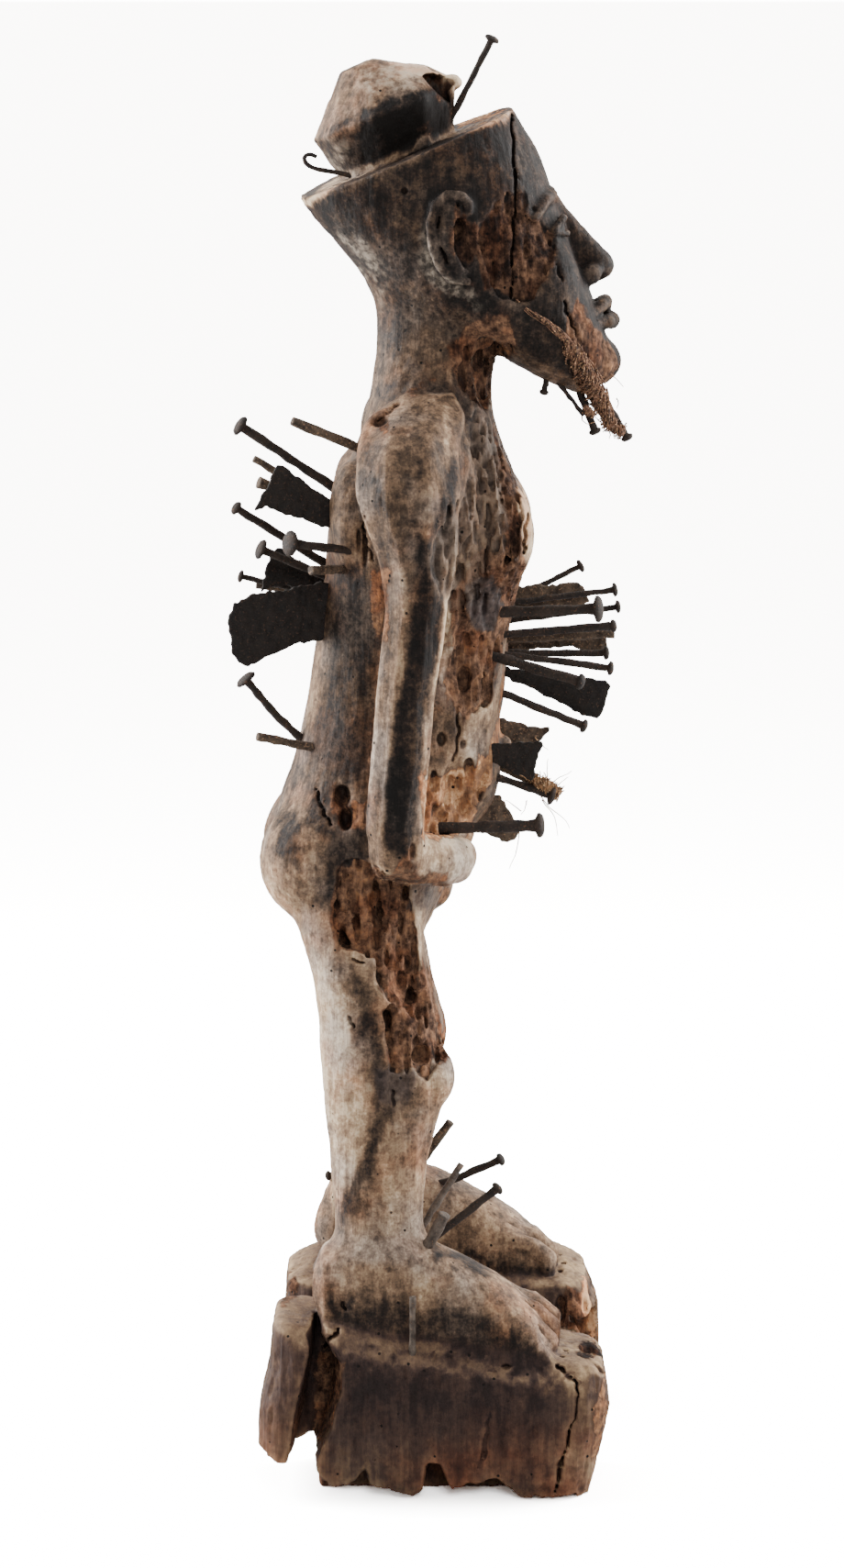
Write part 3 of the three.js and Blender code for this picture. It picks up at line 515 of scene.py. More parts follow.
def head_rope(points, radii, tall=1.0):
    """A rounded form along a path on the head"""
    return tilted(rope_form(points, radii, tall, floor=0.0))


skull_sections = [
    [-FACE, 46, 70, 24], [-198, 34, 80, 37], [-184, 22, 84, 47], [-166, 8, 86, 55], [-140, -14, 86, 62],
    [-112, -44, 86, 68], [-86, -60, 87, 71], [-62, -66, 89, 73], [-36, -75, 90, 74], [-18, -81, 88, 73],
    [0, -85.5, 85, 71], [5, -86.5, 85, 71],
]
add_wood(on_head(skull_sections, power=2.3, soften=5), 7)
HEAD_HALF = 71
TOP_SLOPE = 0.03


def above_top(x, y, z):
    """What is over the flat top, which rises a little to the left side"""
    return TOP_SLOPE * (y + HEAD_HALF) - z + 0 * x


over_head = ((-110, -90, -8), (110, 90, 14), above_top)
cheek = head_ball((56, 36, NOSE_FOOT + 22), (27, 21, 30))
chin = head_ball((72, 0, -FACE + 14), (17, 26, 16))
cut_wood(tilted(over_head), 0.6)
add_both(cheek, 10)
add_wood(chin, 8)

cap_sections = [
    [-5, -52, 40, 40], [9, -54, 43, 42], [37, -61, 57, 55], [56, -43, 39, 40], [75, -23, 4, 17],
]
cap_foot = ball((22, 6, 936), (8, 12, 6))
add_wood(on_head(cap_sections, flats=9, soften=0.5), 1.5)
add_wood(cap_foot, 2)

# Brows, eyes, nose and lips
brow_line = [(86, 7, BROW - 4), (87, 20, BROW + 3), (82, 38, BROW + 2), (70, 54, BROW - 6)]
eye_socket = head_ball((98, 29, EYE), (15, 20, 12))
eyeball = head_ball((74, 29, EYE), (12.5, 15.5, 9.5))
add_both(head_rope(brow_line, [3.2, 4.2, 4.0, 2.6]), 4)
cut_both(eye_socket, 6)
add_both(eyeball, 2)
upper_lid = [(83, 13, EYE - 1), (88.5, 22, EYE + 5), (88, 33, EYE + 5.5), (79, 45, EYE + 0.5)]
lower_lid = [(83, 14, EYE - 2), (87, 23, EYE - 6.5), (86, 33, EYE - 6.5), (79, 44, EYE - 1)]
add_both(head_rope(upper_lid, [1.6, 2.4, 2.4, 1.6]), 1.6)
add_both(head_rope(lower_lid, [1.4, 1.9, 1.9, 1.4]), 1.6)
nose_line = [(84, 0, BROW - 4), (91, 0, EYE - 10), (100, 0, NOSE_FOOT + 14)]
nose_ridge = head_ball((90, 0, NOSE_FOOT + 20), (11, 8.5, 22))
nose_tip = head_ball((100, 0, NOSE_FOOT + 8), (10.5, 10, 9))
nose_wing = head_ball((91, 12.5, NOSE_FOOT + 7), (10, 7.5, 7.5))
nostril = head_ball((98, 8.5, NOSE_FOOT), (5.5, 3.6, 4.5))
add_wood(head_rope(nose_line, [7, 8, 9.5]), 6)
add_wood(nose_ridge, 4)
add_wood(nose_tip, 5)
add_both(nose_wing, 4)
cut_wood(mirrored(nostril), 2)
cut_wood(nostril, 2)
LIP_HALF = 24
upper_lip = [(79, LIP_HALF, MOUTH + 1), (90, 12, MOUTH + 5.5), (93.5, 4, MOUTH + 6),
             (92.5, 0, MOUTH + 4.5)]
lower_lip = [(79, LIP_HALF - 1, MOUTH - 2), (89, 12, MOUTH - 7), (92, 0, MOUTH - 8)]
add_both(head_rope(upper_lip, [3.0, 5.0, 5.4, 5.0]), 3)
add_both(head_rope(lower_lip, [3.0, 5.4, 6.2]), 3)
mouth_line = [(82, LIP_HALF + 1, MOUTH - 1), (97, 12, MOUTH - 0.5), (101, 0, MOUTH - 1)]
cut_both(head_rope(mouth_line, [1.2, 1.6, 1.6]), 1.2)

# Each ear is a rim that curls in at its top, round a fold and a deep hollow. It leans less than the head
EAR_MIDDLE = (21.0, 73.0, 826.0)
EAR_LEAN = math.radians(11.4)


def ear_rope(points, radii):
    """A rounded form drawn on an upright ear, placed on the head"""
    lean, rise = math.cos(EAR_LEAN), math.sin(EAR_LEAN)
    middle_x, middle_y, middle_z = EAR_MIDDLE
    placed = [(middle_x + x * lean - z * rise, middle_y + y, middle_z + x * rise + z * lean)
              for x, y, z in points]
    return rope_form(placed, radii)


ear_rim = [
    (6, -1, -33), (-5, 0, -29), (-11, 1, -17), (-13.5, 2, -2), (-12, 3, 14), (-6, 3, 26), (4, 3, 31.5),
    (13, 2.5, 29.5), (17.5, 2, 23), (16.5, 1.5, 16.5), (11.5, 1, 15.5),
]
ear_bed = [(0, -6, -24), (-2, -6, 0), (2, -6, 20)]
ear_channel = [(9, 2, 23), (2, 2.5, 24.5), (-5, 2.5, 17), (-8, 2, 2), (-6, 1, -13), (0, 0, -24)]
add_both(ear_rope(ear_bed, [9, 13, 13]), 4)
add_both(ear_rope(ear_rim, [3, 3.6, 4, 4.1, 4.1, 4, 3.8, 3.6, 3.4, 3, 2.2]), 1.5)
ear_hollow = [(9, 2, 8), (7.5, 1, -6), (9, 0, -18)]
cut_both(ear_rope(ear_channel, [1.6, 2, 2, 2, 1.8, 1.2]), 1.5)
cut_both(ear_rope(ear_hollow, [5.5, 7, 5]), 2)

# Rot and insects
# The right side has been eaten: a trough down the front of the neck and the shoulder, holes in the
# flank and the hip, and a field of long pits from the hip to the knee. The heart of the wood shows.
furrow = [(26, -50, 728), (38, -62, 692), (48, -76, 650), (50, -84, 604), (44, -82, 570)]
cut_wood(rope_form(furrow, [5, 9, 10, 9, 4]), 3)
# Each hollow has a middle and three radii
hollows = [
    ((50, -36, 728), (13, 15, 32)), ((-58, -88, 422), (8, 14, 11)), ((-52, -92, 402), (7, 14, 9)),
    ((32, -76, 496), (8, 12, 10)), ((34, -66, 418), (20, 12, 26)), ((24, -142, 612), (20, 16, 46)),
    ((-18, -126, 330), (30, 26, 34)), ((12, -122, 282), (16, 22, 38)), ((8, -128, 236), (20, 20, 24)),
]
for centre, radii in hollows:
    cut_wood(ball(centre, radii), 3)


SIGHT_REACH = 156.0
SIGHT_STEP = 1.0
SIGHT_BATCH = 8000


def landing(u, v):
    """Where the line of sight through each pixel first meets the wood, whether it does, and how thick the
    wood is there"""
    u, v = np.atleast_1d(np.asarray(u, float)), np.atleast_1d(np.asarray(v, float))
    y = np.arange(-SIGHT_REACH, SIGHT_REACH, SIGHT_STEP)
    found = [np.empty(len(u)) for _ in range(4)]
    hit = np.empty(len(u), bool)
    for first in range(0, len(u), SIGHT_BATCH):
        some = slice(first, first + SIGHT_BATCH)
        x, z = along_sight(u[some, None], v[some, None], y)
        spots = [np.clip(np.rint((where - wood_low[i]) / STEP).astype(np.int32), 0, field.shape[i] - 1)
                 for i, where in enumerate((x, y, z))]
        met = field[spots[0], spots[1], spots[2]] < 0
        step = met.argmax(-1)
        rows = np.arange(len(step))
        found[0][some], found[1][some], found[2][some] = x[rows, step], y[step], z[rows, step]
        after = (~met & (np.arange(len(y)) > step[:, None])).argmax(-1)
        found[3][some] = y[after] - y[step]
        hit[some] = met.any(-1)
    return found[0], found[1], found[2], hit, found[3]


MM_PER_PIXEL = 0.69
FAR_BEHIND = -300.0
DEEPEST_SHARE = 0.35  # of the wood's thickness
SCOOP_LEAST, SCOOP_SWING = 0.15, 1.7  # of a patch's depth
SCOOP_BLEND = 1.2


def peel(outline, depth, lumps, seed, ragged=3.0):
    """Takes off the skin inside an outline of pixels, in long scoops up to twice as deep as depth. It cuts
    along the line of sight, and less where the wood is thin, so that the figure keeps its outline."""
    corners = np.array(outline, float)
    u_low, v_low = np.floor(corners.min(0)) - 8
    u_high, v_high = np.ceil(corners.max(0)) + 8
    pixel_u, pixel_v = np.meshgrid(np.arange(u_low, u_high), np.arange(v_low, v_high), indexing="ij")
    x, y, z, hit, thick = landing(pixel_u.ravel(), pixel_v.ravel())
    surface = np.where(hit, y, FAR_BEHIND).reshape(pixel_u.shape)
    deepest = (thick * DEEPEST_SHARE).reshape(pixel_u.shape)
    room = 6
    low = (x[hit].min() - room, y[hit].min() - room, z[hit].min() - room)
    high = (x[hit].max() + room, y[hit].max() + room + depth * 2, z[hit].max() + room)
    part, x, y, z = window(low, high)
    whole = np.zeros_like(x + y + z)
    x, y, z = x + whole, y + whole, z + whole
    u, v = seen_at(x, y, z)
    inside = outline_distance(u, v, outline) * MM_PER_PIXEL
    inside = inside + (grain_noise(x, y, z, (8, 8, 14), seed) - 0.5) * 2 * ragged
    inside = inside + (grain_noise(x, y, z, (3, 3, 6), seed + 2) - 0.5) * ragged
    cell_u = np.clip(np.rint(u - u_low).astype(int), 0, surface.shape[0] - 1)
    cell_v = np.clip(np.rint(v - v_low).astype(int), 0, surface.shape[1] - 1)
    deep = depth * (SCOOP_LEAST + SCOOP_SWING * grain_noise(x, y, z, lumps, seed + 1))
    deep = np.minimum(deep, deepest[cell_u, cell_v])
    behind = y - surface[cell_u, cell_v] - deep
    gone = -np.clip(np.maximum(inside, behind), -REACH, REACH)
    field[part] = soft_max(gone, field[part], SCOOP_BLEND)


def carve(outline, from_y, to_y):
    """Takes out what shows inside an outline of pixels, between two depths"""
    spots = [along_sight(u, v, y) for u, v in outline for y in (from_y, to_y)]
    xs, zs = np.array(spots).T
    room = 8
    low = (xs.min() - room, from_y - room, zs.min() - room)
    high = (xs.max() + room, to_y + room, zs.max() + room)

    def form(x, y, z):
        whole = np.zeros_like(x + y + z)
        u, v = seen_at(x + whole, y + whole, z + whole)
        return np.maximum(outline_distance(u, v, outline) * MM_PER_PIXEL, np.maximum(from_y - y, y - to_y))

    cut_wood((low, high, form), 1.0)


def gnaw(outline, count, seed, width, height, depth):
    """Long pits scattered over a patch of the surface that is outlined in pixels"""
    random = np.random.default_rng(seed)
    corners = np.array(outline, float)
    u = random.uniform(corners[:, 0].min(), corners[:, 0].max(), count * 6)
    v = random.uniform(corners[:, 1].min(), corners[:, 1].max(), count * 6)
    inside = outline_distance(u, v, outline) < -1
    u, v = u[inside][:count], v[inside][:count]
    x, y, z, hit, _ = landing(u, v)
    for px, py, pz in zip(x[hit], y[hit], z[hit]):
        size = random.uniform(0.55, 1.25)
        wide = width * size * random.uniform(0.7, 1.2)
        tall = height * size * random.uniform(0.7, 1.4)
        deep = depth * size
        cut_wood(ball((px, py - deep * 0.15, pz), (wide, deep, tall), floor=0.0), SCOOP_BLEND)


thigh_rot = [
    (368, 947), (383, 935), (403, 938), (423, 955), (446, 962), (452, 1002), (455, 1037), (459, 1074),
    (470, 1102), (478, 1127), (485, 1150), (473, 1162), (465, 1176), (445, 1163), (433, 1171),
    (423, 1169), (420, 1137), (418, 1102), (431, 1094), (413, 1077), (409, 1047), (388, 1036),
    (368, 1030), (362, 1002),
]
shoulder_rot = [
    (512, 458), (520, 446), (540, 474), (546, 510), (548, 570), (545, 600), (532, 612), (520, 650),
    (490, 668), (476, 640), (470, 610), (476, 582), (492, 566), (508, 540), (512, 510),
]
flank_rot = [
    (518, 612), (548, 603), (572, 622), (567, 651), (560, 684), (548, 700), (541, 730), (533, 764),
    (508, 778), (496, 763), (485, 748), (504, 660),
]
belly_rot = [
    (463, 848), (500, 848), (530, 830), (536, 838), (522, 874), (511, 896), (485, 910), (463, 911),
]
jaw_rot = [(527, 380), (545, 366), (560, 380), (548, 400), (538, 430), (528, 445), (512, 436),
           (500, 415), (505, 390)]
cheek_rot = [
    (540, 224), (556, 214), (574, 213), (573, 232), (590, 246), (603, 264), (601, 288), (590, 312),
    (582, 328), (560, 330), (540, 318), (530, 310), (527, 285), (518, 262), (524, 244),
]
chin_rot = [
    (622, 345), (632, 330), (638, 338), (640, 354), (652, 364), (664, 372), (674, 386), (678, 404),
    (668, 418), (650, 420), (636, 400), (622, 374),
]
cap_wedge = [(459, 82), (470, 80), (502, 87), (494, 93), (488, 101), (491, 113), (484, 108), (473, 98)]
carve(cap_wedge, -60, -4)
furrow_rot = [
    (535, 448), (548, 462), (562, 500), (567, 550), (566, 602), (552, 612), (546, 560), (541, 500),
]

# Each patch has a depth and the size of its scoops in millimetres, a seed and how ragged its edge is
peel(thigh_rot, 5.5, (9, 9, 26), 3, 2.5)
peel(shoulder_rot, 2.6, (5, 5, 18), 5, 2.0)
peel(flank_rot, 4.0, (9, 9, 22), 7)
peel(belly_rot, 3.6, (7, 7, 16), 9)
peel(jaw_rot, 5.0, (7, 7, 20), 11)
peel(cheek_rot, 2.8, (9, 9, 18), 13)
peel(chin_rot, 1.6, (8, 8, 14), 15)
peel(furrow_rot, 7.0, (6, 6, 20), 17)

# Then it has a number of pits, a seed, and how wide, tall and deep they are in millimetres
gnaw(thigh_rot, 34, 3, 3.2, 11.0, 7.0)
gnaw(thigh_rot, 90, 4, 1.8, 5.0, 4.0)
gnaw(shoulder_rot, 46, 5, 2.0, 10.0, 3.4)
gnaw(shoulder_rot, 120, 6, 1.5, 5.0, 2.4)
gnaw(flank_rot, 30, 7, 2.2, 9.0, 4.0)
gnaw(belly_rot, 30, 8, 2.4, 7.0, 5.0)
gnaw(jaw_rot, 30, 9, 2.4, 9.0, 5.0)
gnaw(furrow_rot, 50, 10, 2.0, 9.0, 4.0)
gnaw(cheek_rot, 18, 12, 1.6, 6.0, 3.0)

# Single holes, each a pixel, a width and a height in millimetres, and a depth
holes = [
    (373, 868, 6, 9, 13), (377, 892, 5, 9, 12), (506, 740, 5.5, 11, 10), (414, 460, 6.5, 4.5, 7),
    (511, 838, 4, 9, 8), (482, 888, 4, 9, 8), (450, 929, 3, 7, 4), (441, 208, 2.4, 2.4, 4),
    (459, 1150, 9, 8, 11), (421, 1112, 4, 9, 8), (437, 1068, 5, 8, 9), (447, 1085, 5, 7, 9),
    (376, 1024, 6, 5, 8), (415, 992, 4, 9, 8), (388, 1005, 3.5, 6, 7), (481, 806, 3.4, 5, 5),
    (505, 812, 3, 4, 5), (582, 228, 1.5, 1.5, 3), (497, 248, 6, 11, 9), (645, 1471, 9, 5, 10),
    (552, 1490, 4, 1.6, 5), (398, 600, 2.4, 14, 5), (391, 590, 2, 10, 4), (611, 1430, 5, 14, 9),
    (621, 1440, 4, 10, 6), (637, 1421, 2, 8, 5), (506, 880, 5, 9, 6), (474, 884, 3, 7, 5),
]
for u, v, wide, high, deep_mm in holes:
    x, y, z, hit, _ = landing(u, v)
    cut_wood(ball((float(x[0]), float(y[0]), float(z[0])), (wide, deep_mm, high), floor=0.0), SCOOP_BLEND)

# Drying cracks follow the grain. Each has a line of pixels, a width and a depth in millimetres.
cracks = [
    ([(556, 120), (559, 160), (562, 215), (559, 260), (557, 326)], 0.6, 9),
    ([(606, 288), (612, 306)], 0.7, 2), ([(614, 328), (622, 352), (629, 366)], 0.8, 4),
    ([(607, 1490), (629, 1508), (630, 1530), (616, 1580), (603, 1634)], 0.6, 8),
    ([(534, 1539), (531, 1563), (523, 1600)], 0.5, 1), ([(369, 1452), (352, 1468)], 1.2, 12),
    ([(394, 574), (400, 590), (408, 612)], 0.6, 3), ([(396, 560), (398, 584)], 0.6, 3),
    ([(434, 440), (424, 450), (408, 462)], 0.8, 3), ([(345, 860), (352, 885), (362, 900)], 0.8, 3),
    ([(428, 1188), (429, 1205)], 0.9, 3), ([(380, 1108), (386, 1120)], 0.9, 3),
    ([(384, 1046), (396, 1050)], 0.8, 3), ([(497, 770), (500, 800), (494, 830)], 0.8, 4),
    ([(575, 560), (571, 590), (572, 604)], 1.0, 6), ([(372, 1418), (376, 1428)], 0.8, 3),
]
LONGEST_STEP = 30.0  # a longer one jumps over an edge of the figure
CRACK_ROOM = np.array((8, 18, 8))
CRACK_SWAY, CRACK_WAVES = 1.2, 9.0
CRACK_MIDDLE, CRACK_REACH = 0.35, 0.8  # shares of its depth


def crack_form(start, end, near, deep_mm):
    """A narrow gap in the wood from one point to another"""
    run = end - start
    flat_run = run[0] ** 2 + run[2] ** 2 + 1e-6

    def form(x, y, z):
        share = np.clip(((x - start[0]) * run[0] + (z - start[2]) * run[2]) / flat_run, 0, 1)
        gap = np.sqrt((x - start[0] - share * run[0]) ** 2 + (z - start[2] - share * run[2]) ** 2)
        deep_gap = np.abs(y - start[1] - share * run[1]) - deep_mm * CRACK_REACH
        return np.maximum(gap - near, deep_gap)

    return np.minimum(start, end) - CRACK_ROOM, np.maximum(start, end) + CRACK_ROOM, form


for line, wide, deep_mm in cracks:
    u, v = np.array(line, float).T
    share = np.linspace(0, len(u) - 1, len(u) * 6)
    u, v = np.interp(share, np.arange(len(u)), u), np.interp(share, np.arange(len(v)), v)
    u = u + CRACK_SWAY * np.sin(share * CRACK_WAVES)
    x, y, z, hit, _ = landing(u, v)
    points = np.stack([x[hit], y[hit] + deep_mm * CRACK_MIDDLE, z[hit]], 1)
    near = max(wide, STEP * 0.5)
    for start, end in zip(points[:-1], points[1:]):
        if np.linalg.norm(end - start) <= LONGEST_STEP:
            cut_wood(crack_form(start, end, near, deep_mm), 0.6)

# Carved wood, surface
# The field becomes a skin, and the skin gets adze dents, grain, worm-eaten ground and hand-worn edges.
# The same places then carry the marks that the material reads: rot, soot, dust, hollows and rust, and
# painted light and shade.
FACES_KEPT = 196000
grid = openvdb.FloatGrid(REACH)
grid.copyFromArray(field)
points, quads = grid.convertToQuads(isovalue=0.0)
points = points * STEP + wood_low


def new_object(name, data):
    """An object of the scene"""
    made = bpy.data.objects.new(name, data)
    bpy.context.scene.collection.objects.link(made)
    return made


def skin_mesh(name, points, quads):
    """A mesh object of triangles and quads, given in millimetres of the carving"""
    mesh = bpy.data.meshes.new(name)
    places = np.asarray(points, float).copy()
    places[:, 0] += FIGURE_SHIFT
    mesh.from_pydata((places / METRE).tolist(), [], np.asarray(quads).tolist())
    mesh.validate()
    return new_object(name, mesh)


def corner_normals(points, quads):
    """The outward direction at each point of a skin"""
    first, second, third, fourth = (points[quads[:, i]] for i in range(4))
    across = np.cross(third - first, fourth - second)
    total = np.zeros_like(points)
    for i in range(4):
        np.add.at(total, quads[:, i], across)
    return total / np.maximum(np.linalg.norm(total, axis=1, keepdims=True), 1e-9)


def soft_inside(u, v, outline, soft):
    """1 inside an outline of pixels and 0 outside it, with a soft edge"""
    return np.clip(0.5 - outline_distance(u, v, outline) / soft, 0, 1)


def in_view(points, slack):
    """Which points the photograph shows, and the pixels that look their way"""
    u, v = seen_at(*points.T)
    _, y, _, hit, _ = landing(u, v)
    return np.where(hit, points[:, 1] < y + slack, True), u, v


def sample_field(source, points):
    """The value of a field at points between its own"""
    spots = [np.clip((points[:, a] - wood_low[a]) / STEP, 0, source.shape[a] - 1.001) for a in range(3)]
    cells = [np.floor(spot).astype(int) for spot in spots]
    shares = [spot - cell for spot, cell in zip(spots, cells)]
    total = 0
    for bits in itertools.product((0, 1), repeat=3):
        weight = 1
        for bit, share in zip(bits, shares):
            weight = weight * (share if bit else 1 - share)
        total = total + weight * source[tuple(cell + bit for cell, bit in zip(cells, bits))]
    return total


eaten_places = [thigh_rot, flank_rot, belly_rot, jaw_rot, cheek_rot, chin_rot]
shown, u, v = in_view(points, 8.0)
eaten = np.zeros(len(points))
for outline in eaten_places:
    eaten = np.maximum(eaten, soft_inside(u, v, outline, 8.0) * shown)
normals = corner_normals(points, quads)
x, y, z = points.T
block = np.clip((BLOCK_HEIGHT + 12 - z) / 10, 0, 1)

# Each unevenness has the size of its lumps, a seed and how deep it goes, in millimetres
dents = (grain_noise(x, y, z, (17, 17, 34), 11) - 0.5) * 1.5
small = (grain_noise(x, y, z, (6, 6, 13), 12) - 0.5) * 0.8
streaks = (grain_noise(x, y, z, (2.4, 2.4, 30), 13) - 0.5) * 0.7
pits = np.clip(grain_noise(x, y, z, (4.2, 4.2, 9), 14) - 0.62, 0, 1) * 4.0
chew = (grain_noise(x, y, z, (3.0, 3.0, 6), 15) - 0.5) * 1.8
depth = dents + small + streaks * (1 + block * 1.6) - pits * (0.5 + block) + chew * eaten
upright = normals * (1, 1, 0.6)
points = points + upright * depth[:, None]


def settle(made):
    """Bakes an object's modifiers into its mesh"""
    view = bpy.context.evaluated_depsgraph_get()
    mesh = bpy.data.meshes.new_from_object(made.evaluated_get(view), depsgraph=view)
    made.modifiers.clear()
    old = made.data
    made.data = mesh
    bpy.data.meshes.remove(old)
    mesh.name = made.name
    return made


def thinned(made, ratio):
    """Leaves a share of an object's faces, smooth and as a plain mesh"""
    thin = made.modifiers.new("thin", "DECIMATE")
    thin.ratio = ratio
    thin.use_collapse_triangulate = True
    settle(made)
    made.data.polygons.foreach_set("use_smooth", [True] * len(made.data.polygons))


def mesh_points(mesh):
    """The points of a mesh in millimetres"""
    found = np.empty(len(mesh.vertices) * 3)
    mesh.vertices.foreach_get("co", found)
    return found.reshape(-1, 3) * METRE


wood = skin_mesh("wood_carving", points, quads)
thinned(wood, min(1.0, FACES_KEPT / (len(wood.data.polygons) * 2)))
places = mesh_points(wood.data)
places[:, 0] -= FIGURE_SHIFT
shown, u, v = in_view(places, 7.0)


# Patches are outlined in pixels. Points are shifted a little here and there, so that the edges fray.
def frayed(points, seed, fine, coarse):
    """How far each point is shifted"""
    x, y, z = points.T
    broad = grain_noise(x, y, z, (9, 9, 16), seed) - 0.5
    return broad * coarse + (grain_noise(x, y, z, (2.8, 2.8, 5), seed + 1) - 0.5) * fine


shift_u = frayed(places, 51, 6.0, 12.0)
shift_v = frayed(places, 53, 9.0, 20.0)


def patch(outline, soft):
    """How far each point is inside an outline, from 0 to 1. The softer the edge, the more it frays."""
    fray = min(1.0, soft / 10)
    return soft_inside(u + shift_u * fray, v + shift_v * fray, outline, soft) * shown


# The heart of the wood shows where it has rotted: each patch has how strong it is and how bright, from
# a dark red-brown over a dull brown to orange.
rot_places = {
    "cheek": (cheek_rot, 1.0, 0.26),
    "chin": (chin_rot, 1.0, 0.34),
    "jaw": (jaw_rot, 0.9, 0.32),
    "furrow": (furrow_rot, 0.7, 0.26),
    "neck_front": ([(487, 378), (505, 356), (528, 344), (552, 345), (560, 352), (552, 372), (538, 386),
        (536, 430), (528, 446), (505, 420), (494, 400)], 0.8, 0.34),
    "jaw_corner": ([(546, 345), (557, 350), (560, 380), (548, 390), (540, 380)], 0.9, 0.44),
    "beside_the_arm": ([(494, 640), (508, 626), (520, 604), (532, 604), (524, 640), (508, 690),
        (492, 700)], 0.9, 0.55),
    "above_the_slate": ([(530, 606), (552, 600), (572, 612), (568, 640), (548, 650)], 0.9, 0.46),
    "flank": (flank_rot, 1.0, 0.4),
    "belly": ([(458, 845), (500, 845), (532, 826), (538, 840), (524, 876), (512, 898), (485, 913),
        (458, 913)], 1.0, 0.76),
    "flank_front_edge": ([(552, 700), (558, 700), (550, 800), (540, 836), (530, 838), (540, 790)], 0.8,
        0.62),
    "hip_hole_front": ([(384, 866), (402, 872), (402, 902), (388, 906)], 0.8, 0.5),
    "hip_hole_back": ([(355, 848), (366, 846), (382, 868), (384, 905), (372, 906), (360, 884)], 0.5,
        0.3),
    "arm_back_edge": ([(408, 622), (424, 622), (420, 700), (410, 704)], 0.8, 0.5),
    "thigh": (thigh_rot, 1.0, 0.44),
    "thigh_front_edge": ([(462, 1046), (468, 1052), (480, 1108), (490, 1150), (478, 1160), (462, 1120),
        (456, 1080)], 0.9, 0.4),
    "under_the_hand": ([(433, 950), (452, 956), (478, 962), (490, 960), (486, 986), (476, 990),
        (480, 972), (444, 966)], 0.75, 0.46),
    "hand_underside": ([(434, 944), (445, 922), (452, 926), (450, 944), (484, 956), (484, 963),
        (436, 954)], 0.7, 0.4),
    "notch_wall": ([(346, 1470), (358, 1474), (376, 1484), (372, 1514), (362, 1556), (344, 1570)], 1.0,
        0.4),
    "shoulder_hole": ([(404, 452), (422, 448), (424, 464), (408, 470)], 0.8, 0.42),
    "shoulder_scar": ([(440, 425), (470, 402), (474, 410), (446, 434)], 0.55, 0.34),
    "cap_wedge_inside": ([(462, 80), (492, 84), (494, 112), (474, 104)], 0.8, 0.14),
    "head_top_front": ([(492, 130), (550, 113), (548, 124), (500, 139)], 0.8, 0.8),
    "ear_hollow": ([(496, 232), (520, 240), (526, 262), (516, 286), (500, 284), (492, 262)], 0.8, 0.22),
    "block_toe_end": ([(651, 1512), (661, 1500), (662, 1530), (655, 1575), (647, 1592), (647, 1550)],
        0.85, 0.56),
    "block_toe_pit": ([(633, 1464), (652, 1463), (657, 1476), (642, 1481), (632, 1475)], 0.9, 0.08),
    "left_block_back": ([(308, 1390), (320, 1386), (326, 1400), (320, 1418), (306, 1422)], 0.9, 0.35),
    "left_block_hole": ([(604, 1408), (628, 1402), (646, 1402), (650, 1458), (608, 1452)], 0.7, 0.34),
    "left_block_splinter": ([(632, 1394), (640, 1394), (642, 1404), (648, 1430), (648, 1458),
        (643, 1456), (638, 1425)], 1.0, 1.0),
}
rot = np.zeros(len(places))
bright = np.full(len(places), 0.4)
for outline, strength, brightness in rot_places.values():
    here = patch(outline, 9.0)
    bright = bright + (brightness - bright) * np.clip(here * 2, 0, 1)
    rot = np.maximum(rot, here * strength)
